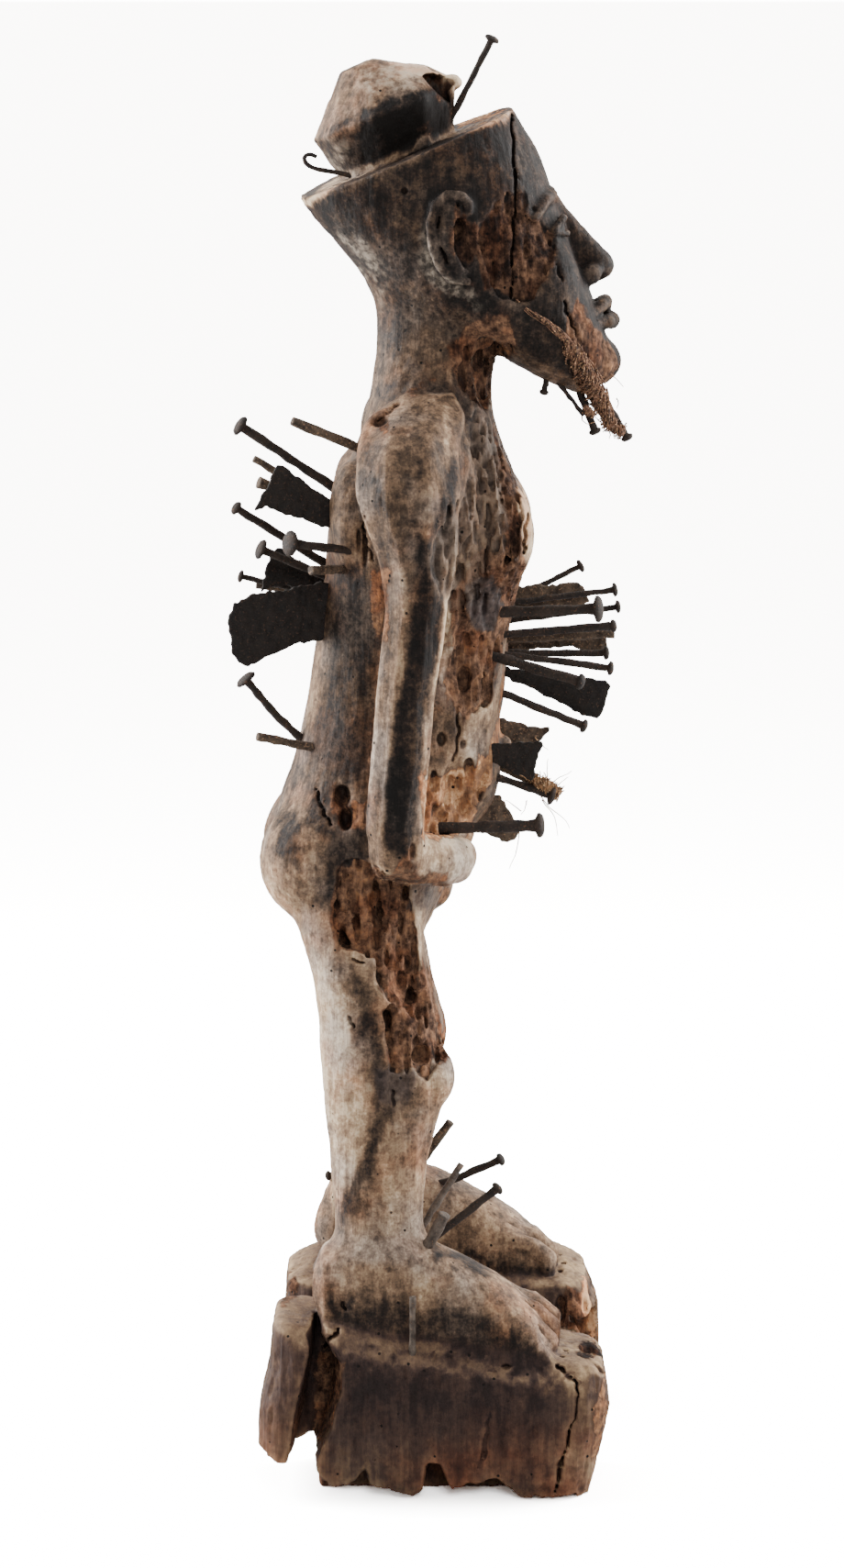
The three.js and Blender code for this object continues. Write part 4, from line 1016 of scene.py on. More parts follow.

# Dark and light passages, outlined in the same way: each with a tone from 0, sooty, to 1, dry and whitish,
# and how soft it is. Most are the patina's own colour, but some are painted light and shade: light from
# behind on the back, the buttock, the back of the leg and the arm's back flat, highlights on the shoulder
# ridge, the arm's front edge, the kneecap and the edges of the chest and belly, and shade on the arm's
# middle flat, in front of the arm, in the crease of the shin, under the foot and beneath the far foot.
# Where the photograph doesn't reach, the tone goes with the height.
height = places[:, 2] - BLOCK_HEIGHT
tone_and_painted_light = np.interp(height, [0, 60, 250, 330, 420, 560, 700, 760, 800, 850, 980],
                 [0.56, 0.55, 0.58, 0.56, 0.42, 0.4, 0.44, 0.4, 0.3, 0.2, 0.3])
tone_and_painted_light_places = {
    "face_side": ([(395, 198), (556, 118), (606, 160), (660, 240), (710, 330), (705, 420), (655, 425),
        (560, 375), (535, 345), (480, 325), (452, 280), (440, 232), (404, 222)], 0.11, 12),
    "behind_the_ear": ([(380, 196), (420, 180), (470, 196), (470, 300), (440, 330), (400, 250)], 0.26,
        20),
    "cap_upper": ([(342, 150), (396, 119), (422, 112), (470, 96), (500, 104), (508, 88), (484, 74),
        (463, 66), (432, 60), (404, 60), (385, 66), (368, 88), (352, 114), (338, 146)], 0.58, 3),
    "cap_top": ([(420, 66), (463, 66), (508, 84), (506, 92), (470, 80), (440, 84)], 0.92, 5),
    "cap_back_edge": ([(356, 96), (368, 88), (352, 114), (342, 148), (336, 146), (350, 112)], 0.85, 3),
    "cap_lower_back": ([(342, 152), (396, 121), (422, 114), (410, 140), (430, 164), (370, 194),
        (350, 170)], 0.34, 4),
    "cap_dark_side": ([(396, 121), (422, 112), (470, 96), (494, 112), (486, 138), (447, 158),
        (417, 172), (396, 180), (392, 150)], 0.0, 3),
    "head_rim": ([(327, 222), (370, 190), (417, 170), (447, 158), (483, 142), (537, 127), (559, 117),
        (557, 126), (537, 135), (483, 151), (447, 167), (417, 180), (370, 201), (332, 228)], 0.86, 3),
    "shoulder": ([(383, 520), (400, 440), (440, 418), (486, 440), (480, 520), (470, 596), (420, 600),
        (394, 590)], 0.44, 14),
    # painted highlight along the ridge of the shoulder
    "shoulder_ridge_highlight": ([(483, 440), (489, 442), (490, 505), (486, 516), (482, 505)], 0.75, 4),
    # painted shade in the hollow in front of the arm
    "arm_front_hollow_shade": ([(486, 510), (497, 500), (500, 540), (488, 590), (474, 604), (478, 560)], 0.16,
        6),
    # painted light on the arm's back flat, which faces the lamps behind
    "arm_back_flat_painted_light": ([(398, 905), (399, 860), (405, 780), (412, 700), (416, 620), (430, 606),
        (448, 640), (440, 740), (431, 800), (424, 860), (417, 925)], 0.58, 5),
    # painted shade on the arm's middle flat, between its two lit faces
    "arm_middle_flat_shade": ([(456, 584), (480, 600), (481, 655), (473, 723), (460, 795), (455, 860),
        (446, 935), (418, 926), (423, 860), (431, 790), (443, 723), (453, 652)], 0.1, 5),
    # painted highlight on the arm's front edge
    "arm_front_edge_highlight": ([(484, 655), (508, 640), (502, 690), (490, 723), (479, 795), (467, 860),
        (462, 906), (454, 905), (458, 860), (463, 795), (476, 723), (484, 668)], 0.86, 4),
    "chest_side": ([(488, 600), (524, 596), (528, 616), (506, 640), (492, 640)], 0.6, 8),
    # painted rim light down the back
    "back_painted_rim_light": ([(330, 640), (352, 640), (350, 760), (334, 850), (318, 850)], 0.5, 12),
    "back_strip": ([(360, 610), (404, 620), (400, 780), (392, 850), (352, 840)], 0.26, 16),
    # painted rim light on the buttock
    "buttock_painted_rim_light": ([(290, 890), (340, 850), (352, 930), (346, 1000), (312, 985), (286, 935)], 0.6,
        14),
    "buttock_dark": ([(300, 885), (322, 880), (332, 925), (322, 948), (305, 930)], 0.22, 14),
    "hip_dark": ([(335, 850), (398, 866), (402, 930), (368, 1002), (352, 985), (346, 930)], 0.22, 18),
    # painted light from behind on the back of the leg
    "leg_back": ([(286, 930), (304, 965), (346, 1045), (380, 1100), (398, 1180), (396, 1300),
        (362, 1300), (344, 1180), (328, 1060), (298, 1005)], 0.88, 14),
    "thigh_crease": ([(378, 1045), (412, 1100), (420, 1170), (412, 1200), (404, 1150), (390, 1085)],
        0.26, 12),
    # painted highlight on the kneecap
    "kneecap": ([(472, 1168), (494, 1160), (494, 1198), (478, 1206), (468, 1190)], 0.74, 8),
    "thigh_front_light": ([(452, 990), (464, 992), (466, 1040), (458, 1046), (454, 1020)], 0.72, 4),
    # painted shade in the crease down the shin
    "shin_crease_shade": ([(412, 1208), (428, 1210), (378, 1346), (366, 1350), (366, 1338)], 0.28, 7),
    "foot": ([(352, 1330), (470, 1320), (520, 1370), (590, 1430), (612, 1480), (596, 1472), (556, 1432),
        (451, 1414), (360, 1408)], 0.66, 8),
    # painted shade on the underside of the foot
    "foot_underside_shade": ([(356, 1416), (451, 1424), (520, 1436), (556, 1450), (594, 1484), (606, 1498),
        (550, 1496), (453, 1466), (366, 1440)], 0.16, 9),
    "ear_hollow": ([(466, 212), (496, 202), (522, 212), (526, 236), (508, 246), (498, 270), (516, 296),
        (524, 312), (504, 316), (474, 292), (462, 250)], 0.04, 4),
    "instep_shadow": ([(474, 1356), (600, 1384), (614, 1396), (560, 1394), (474, 1372)], 0.2, 8),
    "ankle": ([(414, 1280), (470, 1280), (474, 1340), (440, 1356), (404, 1330)], 0.72, 14),
    "hand": ([(466, 905), (512, 905), (518, 955), (500, 966), (456, 956), (456, 920)], 0.82, 6),
    "belly_side": ([(468, 744), (530, 740), (548, 760), (528, 826), (500, 844), (466, 846)], 0.48, 10),
    "belly_streak": ([(512, 775), (522, 758), (542, 746), (546, 764), (526, 796), (514, 830),
        (505, 832)], 0.66, 8),
    # painted highlight along the edge of the chest
    "chest_edge_highlight": ([(550, 470), (560, 490), (582, 560), (582, 610), (572, 628), (568, 600),
        (566, 540)], 0.9, 5),
    # painted highlight along the front edge of the belly
    "belly_edge_highlight": ([(548, 690), (556, 690), (548, 800), (538, 830), (530, 820)], 0.7, 6),
}
for outline, level, soft in tone_and_painted_light_places.values():
    tone_and_painted_light = tone_and_painted_light + (level - tone_and_painted_light) * patch(outline, soft)
chalk_places = {
    "behind_the_ear": [(458, 252), (470, 285), (492, 306), (520, 318), (528, 330), (500, 330),
        (474, 310), (456, 282)],
    "neck_back": [(370, 250), (396, 262), (420, 300), (414, 330), (394, 306)],
    "cap_back": [(348, 156), (372, 160), (390, 186), (368, 190)],
    "jaw_edge": [(522, 398), (538, 388), (541, 414), (534, 438), (524, 430)],
    "leg_back": [(352, 1060), (376, 1080), (390, 1100), (384, 1140), (380, 1200), (360, 1170)],
    "cap_top": [(384, 70), (450, 66), (480, 84), (440, 100), (396, 104)],
    "hand": [(480, 905), (512, 908), (514, 950), (484, 950)],
    "groin": [(446, 966), (470, 966), (470, 990), (448, 990)],
}
chalk = np.zeros(len(places))
for outline in chalk_places.values():
    chalk = np.maximum(chalk, patch(outline, 10.0))
slate_places = {
    "flank": ([(510, 632), (536, 628), (548, 656), (542, 684), (526, 696), (514, 688), (506, 662)],
        0.95),
    "shin": ([(408, 1168), (458, 1170), (449, 1196), (428, 1210), (412, 1198)], 0.9),
    "groin": ([(446, 966), (474, 966), (480, 984), (462, 998), (444, 994)], 0.7),
}
slate = np.zeros(len(places))
for outline, strength in slate_places.values():
    slate = np.maximum(slate, patch(outline, 8.0) * strength)
rot = rot * (1 - slate)
worm = patch(shoulder_rot, 8.0)
hidden_rot = np.clip(grain_noise(*places.T, (60, 60, 130), 21) * 4 - 3.0, 0, 1)
rot = np.maximum(rot, np.where(shown, 0, hidden_rot * 0.6))

# The blocks' wood begins a little over their tops
along = (places[:, 0] - RIGHT_MIDDLE) / RIGHT_LENGTH
right_top = (RIGHT_TOP_BACK + RIGHT_TOP_FRONT) / 2 - (RIGHT_TOP_BACK - RIGHT_TOP_FRONT) * along
across = (places[:, 1] - BLOCK_MIDDLE) / (2 * BLOCK_HALF)
left_top = (LEFT_TOP_BACK + LEFT_TOP_FRONT) / 2 + LEFT_OUTER_RISE * across
block_top = BLOCK_HEIGHT + np.where(places[:, 1] < 0, right_top, left_top)
low_part = np.clip((block_top + 6 - places[:, 2]) / 5, 0, 1)


def box_blur(values, reach):
    """The mean of a field over a cube, reach points to each side"""
    kernel = 2 * reach + 1
    for axis in range(3):
        total = np.cumsum(np.moveaxis(values, axis, 0), axis=0, dtype=np.float64)
        spread = np.moveaxis(values, axis, 0).astype(np.float32).copy()
        spread[reach + 1:-reach] = (total[kernel:] - total[:-kernel]) / kernel
        values = np.moveaxis(spread, 0, axis)
    return values


# Hollows and creases are darker, and hands wear edges light
at_point = sample_field(field, places)
edge = np.clip(0.5 + (sample_field(box_blur(field, 2), places) - at_point) * 0.45, 0, 1)
sunk = np.clip((at_point - sample_field(box_blur(field, 4), places)) * 0.35 - 0.1, 0, 1)


def mark(mesh, name, red, green, blue):
    """Keeps three masks on the points of a mesh as one colour"""
    layer = mesh.attributes.new(name, "FLOAT_COLOR", "POINT")
    values = np.ones((len(mesh.vertices), 4), np.float32)
    values[:, 0], values[:, 1], values[:, 2] = red, green, blue
    layer.data.foreach_set("color", values.ravel())


mark(wood.data, "decay", rot, slate, sunk)
mark(wood.data, "ground", low_part, edge, worm)
mark(wood.data, "patina_and_painted_light", tone_and_painted_light, bright, chalk)


def linear(code):
    """A colour written as a hex code, for a socket"""
    parts = [int(code[i:i + 2], 16) / 255 for i in (1, 3, 5)]
    return [c / 12.92 if c <= 0.04045 else ((c + 0.055) / 1.055) ** 2.4 for c in parts] + [1.0]


def add_node(tree, kind, **settings):
    """Adds a node. A setting that isn't one of its properties is an input, given a value or a link."""
    node = tree.nodes.new(kind)
    for key, value in settings.items():
        name = key.replace("_", " ").strip()
        if hasattr(node, key):
            setattr(node, key, value)
            continue
        spot = int(key[3:]) if key.startswith("in_") else name
        socket = node.inputs[spot]
        if isinstance(value, bpy.types.NodeSocket):
            tree.links.new(value, socket)
        else:
            socket.default_value = value
    return node


def new_finish(name):
    """A material with an empty tree"""
    finish = bpy.data.materials.new(name)
    finish.use_nodes = True
    finish.node_tree.nodes.clear()
    return finish, finish.node_tree


def swung(tree, level, swings, low=0.3, high=0.7):
    """Moves a level with textures, each with how far it does so where it is low and where it is high"""
    for texture, at_low, at_high in swings:
        swing = add_node(tree, "ShaderNodeMapRange", in_0=texture, in_1=low, in_2=high, in_3=at_low,
                         in_4=at_high).outputs[0]
        level = add_node(tree, "ShaderNodeMath", operation="ADD", in_0=level, in_1=swing).outputs[0]
    return level


def share_of(tree, *bands):
    """How much of a colour shows. Each band is a value, its low and high end, and what they give if that
    isn't 0 and 1. The bands are multiplied."""
    share = 1.0
    for value, low, high, *ends in bands:
        at_low, at_high = ends or (0.0, 1.0)
        band = add_node(tree, "ShaderNodeMapRange", in_0=value, in_1=low, in_2=high, in_3=at_low,
                        in_4=at_high).outputs[0]
        share = add_node(tree, "ShaderNodeMath", operation="MULTIPLY", use_clamp=True, in_0=share,
                         in_1=band).outputs[0]
    return share


def stained(tree, colour, *stains):
    """A colour under stains, each with how it mixes, how much of it shows and its own colour"""
    for blend, share, stain in stains:
        colour = add_node(tree, "ShaderNodeMix", data_type="RGBA", blend_type=blend, in_0=share,
                          in_6=colour, in_7=stain).outputs[2]
    return colour


def toned(tree, level, stops, *stains):
    """The colours that a level gives, from dark to light, under stains"""
    tones = add_node(tree, "ShaderNodeValToRGB", in_0=level)
    while len(tones.color_ramp.elements) < len(stops):
        tones.color_ramp.elements.new(0.5)
    for element, (spot, code) in zip(tones.color_ramp.elements, stops):
        element.position = spot
        element.color = linear(code)
    return stained(tree, tones.outputs[0], *stains)


# Old softwood with a patina: dusty beige where it is dry, dark where hands and smoke have polished it,
# orange and crumbling where insects have opened it, purple-brown and splintered on the blocks. Its tones
# also carry painted light and shade on the body and limbs.
old_wood, tree = new_finish("old_carved_wood")
place = add_node(tree, "ShaderNodeTexCoord").outputs["Object"]
marks = {}
for layer, names in [("decay", ("rot", "slate", "sunk")), ("ground", ("block", "edge", "worm")),
                     ("patina_and_painted_light", ("tone_and_painted_light", "bright", "chalk"))]:
    kept = add_node(tree, "ShaderNodeAttribute", attribute_name=layer).outputs["Color"]
    marks.update(zip(names, add_node(tree, "ShaderNodeSeparateColor", Color=kept).outputs))

# Each texture has a direction, the width of its lumps in millimetres, its detail and its roughness
GRAIN_STRETCH = 0.09
along_grain = add_node(tree, "ShaderNodeMapping", Vector=place, Scale=(1.0, 1.0, GRAIN_STRETCH)).outputs[0]
textures = {
    "clouds": (place, 76.92, 4.0, 0.6), "mottle": (place, 20.83, 5.0, 0.65),
    "granules": (place, 5.882, 4.0, 0.6), "speckle": (place, 1.923, 3.0, 0.6),
    "umber": (place, 58.82, 4.0, 0.6), "ash": (place, 47.62, 3.0, 0.55), "rust": (place, 33.33, 3.0, 0.6),
    "fibres": (along_grain, 3.03, 4.0, 0.6), "streaks": (along_grain, 10.526, 5.0, 0.65),
    "rot_grain": (along_grain, 2.381, 4.0, 0.7),
}
for name, (vector, lump, detail, roughness) in textures.items():
    textures[name] = add_node(tree, "ShaderNodeTexNoise", Vector=vector, Scale=METRE / lump, Detail=detail,
                              Roughness=roughness).outputs[0]
clouds, mottle, granules, fibres = (textures[name] for name in ("clouds", "mottle", "granules", "fibres"))
WORM_HOLES_APART = 13.89
holes_near = add_node(tree, "ShaderNodeTexVoronoi", Vector=place,
                      Scale=METRE / WORM_HOLES_APART).outputs["Distance"]

# The patina and the painted light and shade, with umber and ashy passages, chalky dust and slate-grey
# smears
level = swung(tree, marks["tone_and_painted_light"], [(clouds, -0.12, 0.12), (mottle, -0.13, 0.13), (granules, -0.16, 0.16),
                                    (textures["streaks"], 0.12, -0.12), (fibres, 0.05, -0.05),
                                    (textures["speckle"], -0.09, 0.09)])
level = swung(tree, level, [(marks["edge"], -0.13, 0.16)], 0.3, 0.75)
umber_share = share_of(tree, (textures["umber"], 0.5, 0.64, 0.0, 0.45))
ash_share = share_of(tree, (textures["ash"], 0.48, 0.66, 0.0, 0.4))
chalk_share = share_of(tree, (marks["chalk"], 0.0, 1.0), (mottle, 0.42, 0.6),
                       (granules, 0.4, 0.6, 0.1, 0.65))
slate_share = share_of(tree, (marks["slate"], 0.0, 1.0), (mottle, 0.25, 0.6, 0.7, 1.0))
slate_colour = toned(tree, granules, [(0.35, "#241D1C"), (0.65, "#4A403E")])
colour = toned(tree, level, [(0.0, "#110D0B"), (0.2, "#2A201B"), (0.42, "#534234"), (0.62, "#7E6550"),
                             (0.82, "#A98E72"), (1.0, "#D2BB9C")],
               ("COLOR", umber_share, linear("#7A4A2C")), ("COLOR", ash_share, linear("#77716D")),
               ("MIX", chalk_share, linear("#C4B6A4")), ("MIX", slate_share, slate_colour))

# The blocks: dusty brown on top, purple-brown on their sides and redder lower down, dusty at their toe end
facing = add_node(tree, "ShaderNodeSeparateXYZ",
                  Vector=add_node(tree, "ShaderNodeNewGeometry").outputs["Normal"]).outputs[2]
at = add_node(tree, "ShaderNodeSeparateXYZ", Vector=place).outputs
on_top = share_of(tree, (facing, 0.3, 0.62))
low_down = share_of(tree, (swung(tree, at[2], [(mottle, -0.02, 0.02)]), 0.075, 0.03))
toe_end = share_of(tree, (swung(tree, at[0], [(mottle, -0.02, 0.02)]), 0.075, 0.12))
heel_end = share_of(tree, (swung(tree, at[0], [(mottle, -0.01, 0.01)]), -0.085, -0.115))
block_level = swung(tree, 0.0, [(mottle, 0.14, 0.42), (fibres, 0.06, -0.06), (granules, -0.08, 0.08),
                                (textures["streaks"], 0.1, -0.1)])
block_level = swung(tree, block_level, [(on_top, 0.0, 0.3), (low_down, 0.0, 0.24), (heel_end, 0.0, 0.16),
                                        (toe_end, 0.0, 0.22)], 0.0, 1.0)
block_level = swung(tree, block_level, [(marks["edge"], -0.08, 0.2)], 0.4, 0.8)
red_share = share_of(tree, (low_down, 0.0, 1.0, 0.12, 0.7), (clouds, 0.38, 0.6),
                     (on_top, 0.0, 1.0, 1.0, 0.3))
block_wood = toned(tree, block_level, [(0.0, "#0E0908"), (0.25, "#2B201E"), (0.45, "#46362F"),
                                       (0.65, "#6A5543"), (0.85, "#8D765C"), (1.0, "#AE9473")],
                   ("COLOR", red_share, linear("#8A4E36")))

# Rotten wood, dark where it begins, and the worm-eaten ground with its holes and its darker hollows
rot_level = swung(tree, marks["bright"], [(textures["rot_grain"], -0.12, 0.12), (mottle, -0.2, 0.2),
                                          (granules, -0.22, 0.22)])
rust_share = share_of(tree, (textures["rust"], 0.5, 0.64, 0.0, 0.35))
rot_wood = toned(tree, rot_level, [(0.0, "#160E0B"), (0.2, "#35241C"), (0.4, "#5F4636"), (0.6, "#87654D"),
                                   (0.8, "#A97A56"), (1.0, "#DDB58C")],
                 ("COLOR", rust_share, linear("#9C4F26")))
rot_edge = swung(tree, marks["rot"], [(mottle, -0.3, 0.3), (granules, -0.2, 0.2)], 0.25, 0.75)
near_rot = share_of(tree, (rot_edge, 0.16, 0.42, 0.0, 0.6))
rot_share = share_of(tree, (rot_edge, 0.36, 0.56))
worm_share = share_of(tree, (marks["worm"], 0.0, 1.0), (granules, 0.35, 0.6, 0.2, 0.7))
# Worm holes are dots painted near black, as the shade inside each hole, and the bump dents them in
worm_hole = share_of(tree, (holes_near, 0.095, 0.07), (clouds, 0.34, 0.44))
sunk_share = share_of(tree, (marks["sunk"], 0.0, 1.0, 0.0, 0.62))
colour = stained(tree, colour, ("MIX", marks["block"], block_wood), ("MIX", near_rot, linear("#3E2A20")),
                 ("MIX", rot_share, rot_wood), ("MIX", worm_share, linear("#6F6054")),
                 ("MIX", worm_hole, linear("#120C0A")), ("MIX", sunk_share, linear("#170E0B")))

# The grain stands out, rotten wood crumbles and worm holes go in. Slate is smoother, and rot is dull.
crumbs = share_of(tree, (granules, 0.3, 0.7), (rot_share, 0.0, 1.0, 0.2, 1.0))
relief = swung(tree, 0.0, [(fibres, 0.0, 0.5), (mottle, 0.0, 0.35)])
relief = swung(tree, relief, [(crumbs, 0.0, 1.0), (worm_hole, 0.0, -1.0)], 0.0, 1.0)
DENT_DEPTH = 1.1
dent = add_node(tree, "ShaderNodeBump", Height=relief, Strength=0.6,
                Distance=DENT_DEPTH / METRE).outputs[0]
gloss = swung(tree, 0.0, [(mottle, 0.52, 0.74)])
for share, rough in [(slate_share, 0.5), (rot_share, 0.92)]:
    gloss = add_node(tree, "ShaderNodeMix", in_0=share, in_2=gloss, in_3=rough).outputs[0]
shader = add_node(tree, "ShaderNodeBsdfPrincipled", Base_Color=colour, Roughness=gloss, Normal=dent,
                  Specular_IOR_Level=0.16)
add_node(tree, "ShaderNodeOutputMaterial", Surface=shader.outputs[0])
wood.data.materials.clear()
wood.data.materials.append(old_wood)
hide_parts("wood_figure")
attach(wood, "root")

# Nails, rods and pegs
# Forged iron of many sizes, driven in one by one over the years. Nails have hammered domed heads, and
# the rods and pegs are cut off square. Each follows the ring middles of its solid.
class_names = {"iron": [], "rusty_iron": []}
for part in frame["record"]["subparts"]:
    kind = part["material_slot"]
    if kind in class_names and "blade" not in part["node"]:
        class_names[kind].append(part["node"])


def ring_middles(node):
    """Middles and half widths of the rings of a driven solid, from its tip outwards"""
    corners = np.unique(np.round(mesh_points(nodes[node].data), 2), axis=0)
    middle = corners.mean(0)
    axis = np.linalg.svd(corners - middle, full_matrices=False)[2][0]
    along = (corners - middle) @ axis
    order = np.argsort(along)
    groups = np.split(corners[order], np.flatnonzero(np.diff(along[order]) > 1.0) + 1)
    centres = [group.mean(0) for group in groups]
    halves = [np.linalg.norm(group - group.mean(0), axis=1).max() for group in groups]
    if halves[0] > halves[-1]:
        centres.reverse()
        halves.reverse()
    return np.array(centres), np.array(halves)


def smooth_path(points, count):
    """A smooth line through points, at even steps"""
    points = np.asarray(points, float)
    steps = np.concatenate([[0], np.cumsum(np.linalg.norm(np.diff(points, axis=0), axis=1))])
    even = np.linspace(0, steps[-1], count)
    line = np.stack([np.interp(even, steps, points[:, i]) for i in range(3)], 1)
    for _ in range(max(2, count // 5)):
        line[1:-1] = (line[:-2] + 2 * line[1:-1] + line[2:]) / 4
    return line


random = np.random.default_rng(31)
HEAD_PROFILE = [(0.12, 0.62), (0.3, 0.98), (0.55, 1.0), (0.8, 0.84), (0.95, 0.5), (1.0, 0.2)]
LINE_POINTS = 14
SWAY = 0.22
HEAD_LEAST = 1.3  # times the shank
HEAD_WIDTH = 1.2  # times the solid's head
CROWN_RISE = 1.76  # times the shank
CROWN_LEAST = 1.2
NAIL_GIRTH = 1.22  # times the solid's shank
ROD_GIRTH = 1.1


def driven_line(node):
    """Points and half widths of a nail, rod or peg"""
    centres, halves = ring_middles(node)
    shank = halves[1]
    has_head = halves[-2:].max() > shank * HEAD_LEAST
    if has_head:
        far = centres[-1] - centres[-2]
        run = far / np.linalg.norm(far)
        crown = shank * CROWN_RISE + CROWN_LEAST
        foot = centres[-1] - run * crown
        line = smooth_path(np.vstack([centres[:-2], foot]), LINE_POINTS)
    else:
        line = smooth_path(centres, LINE_POINTS)
    sway = random.normal(0, SWAY, line.shape)
    sway[0] = sway[-1] = 0
    line = line + sway
    plain_girth = shank * (NAIL_GIRTH if has_head else ROD_GIRTH)
    girth = np.full(len(line), plain_girth) * random.uniform(0.88, 1.12, len(line))
    girth[0] = halves[0]
    girth[-1] *= 1.05
    if has_head:
        width = halves[-2:].max() * HEAD_WIDTH
        for share, part in HEAD_PROFILE:
            line = np.vstack([line, foot + run * crown * share])
            girth = np.append(girth, max(shank * 0.3, width * part))
    else:
        cap = line[-1] + (line[-1] - line[-2]) * 0.03
        line = np.vstack([line, cap])
        girth = np.append(girth, shank * 0.72)
    return line, girth


def line_object(name, lines):
    """One mesh of bent lines, each with its half widths, for the sweep"""
    points = []
    edges = []
    girths = []
    for line, girth in lines:
        first = len(points)
        points.extend((np.asarray(line) / METRE).tolist())
        girths.extend((np.asarray(girth) / METRE).tolist())
        edges.extend((first + i, first + i + 1) for i in range(len(line) - 1))
    mesh = bpy.data.meshes.new(name)
    mesh.from_pydata(points, edges, [])
    mesh.attributes.new("girth", "FLOAT", "POINT").data.foreach_set("value", girths)
    return new_object(name, mesh)


# One tree sweeps a round section along the lines and hammers it
sweep = bpy.data.node_groups.new("hammered_sweep", "GeometryNodeTree")
sweep.interface.new_socket("Geometry", in_out="OUTPUT", socket_type="NodeSocketGeometry")
sweep_inputs = {}
for label, kind in [("Geometry", "Geometry"), ("Sides", "Int"), ("Hammering", "Float"), ("Dent", "Float"),
                    ("Finish", "Material")]:
    made = sweep.interface.new_socket(label, in_out="INPUT", socket_type="NodeSocket" + kind)
    sweep_inputs[label] = made.identifier
given = add_node(sweep, "NodeGroupInput").outputs
lines_in = add_node(sweep, "GeometryNodeMeshToCurve", Mesh=given["Geometry"]).outputs[0]
girth_read = add_node(sweep, "GeometryNodeInputNamedAttribute", data_type="FLOAT", Name="girth").outputs[0]
thick = add_node(sweep, "GeometryNodeSetCurveRadius", Curve=lines_in, Radius=girth_read).outputs[0]
section = add_node(sweep, "GeometryNodeCurvePrimitiveCircle", Resolution=given["Sides"],
                   Radius=1.0).outputs[0]
swept = add_node(sweep, "GeometryNodeCurveToMesh", Curve=thick, Profile_Curve=section, Fill_Caps=True)
if "Scale" in swept.inputs:
    sweep.links.new(girth_read, swept.inputs["Scale"])
place = add_node(sweep, "GeometryNodeInputPosition").outputs[0]
dents = add_node(sweep, "ShaderNodeTexNoise", Vector=place, Scale=given["Dent"], Detail=3.0).outputs[0]
dents = add_node(sweep, "ShaderNodeMath", operation="SUBTRACT", in_0=dents, in_1=0.5).outputs[0]
dents = add_node(sweep, "ShaderNodeMath", operation="MULTIPLY", in_0=dents,
                 in_1=given["Hammering"]).outputs[0]
outward = add_node(sweep, "GeometryNodeInputNormal").outputs[0]
push = add_node(sweep, "ShaderNodeVectorMath", operation="SCALE", in_0=outward, Scale=dents).outputs[0]
hammered = add_node(sweep, "GeometryNodeSetPosition", Geometry=swept.outputs[0], Offset=push).outputs[0]
rounded = add_node(sweep, "GeometryNodeSetShadeSmooth", Geometry=hammered).outputs[0]
whole = add_node(sweep, "GeometryNodeRealizeInstances", Geometry=rounded).outputs[0]
finished = add_node(sweep, "GeometryNodeSetMaterial", Geometry=whole, Material=given["Finish"]).outputs[0]
add_node(sweep, "NodeGroupOutput", Geometry=finished)


def swept_piece(name, lines, sides, hammering, dent, finish):
    """Sweeps lines into one plain mesh. Its dents are as deep and wide as given, in millimetres."""
    made = line_object(name, lines)
    modifier = made.modifiers.new("sweep", "NODES")
    modifier.node_group = sweep
    modifier[sweep_inputs["Sides"]] = sides
    modifier[sweep_inputs["Hammering"]] = hammering / METRE
    modifier[sweep_inputs["Dent"]] = METRE / dent
    modifier[sweep_inputs["Finish"]] = finish
    return settle(made)


def iron_finish(name, dark, middle, rust, rust_share, gloss, metal):
    """Old iron: a dark forged skin, browner where rust has lifted it"""
    finish, tree = new_finish(name)
    place = add_node(tree, "ShaderNodeTexCoord").outputs["Object"]
    lumps, grit = (add_node(tree, "ShaderNodeTexNoise", Vector=place, Scale=METRE / lump, Detail=detail,
                            Roughness=roughness).outputs[0]
                   for lump, detail, roughness in [(8.333, 5.0, 0.65), (1.923, 3.0, 0.6)])
    worn = share_of(tree, (lumps, 0.35, 0.65))
    rusted = share_of(tree, (grit, 0.72 - rust_share * 0.3, 0.82 - rust_share * 0.3))
    colour = stained(tree, linear(dark), ("MIX", worn, linear(middle)), ("MIX", rusted, linear(rust)))
    rough = swung(tree, 0.0, [(lumps, gloss, gloss + 0.25)])
    high = add_node(tree, "ShaderNodeMath", operation="ADD", in_0=lumps, in_1=grit).outputs[0]
    bump = add_node(tree, "ShaderNodeBump", Height=high, Strength=0.8,
                    Distance=DENT_DEPTH / METRE).outputs[0]
    shader = add_node(tree, "ShaderNodeBsdfPrincipled", Base_Color=colour, Roughness=rough, Normal=bump,
                      Metallic=metal, Specular_IOR_Level=0.3)
    add_node(tree, "ShaderNodeOutputMaterial", Surface=shader.outputs[0])
    return finish


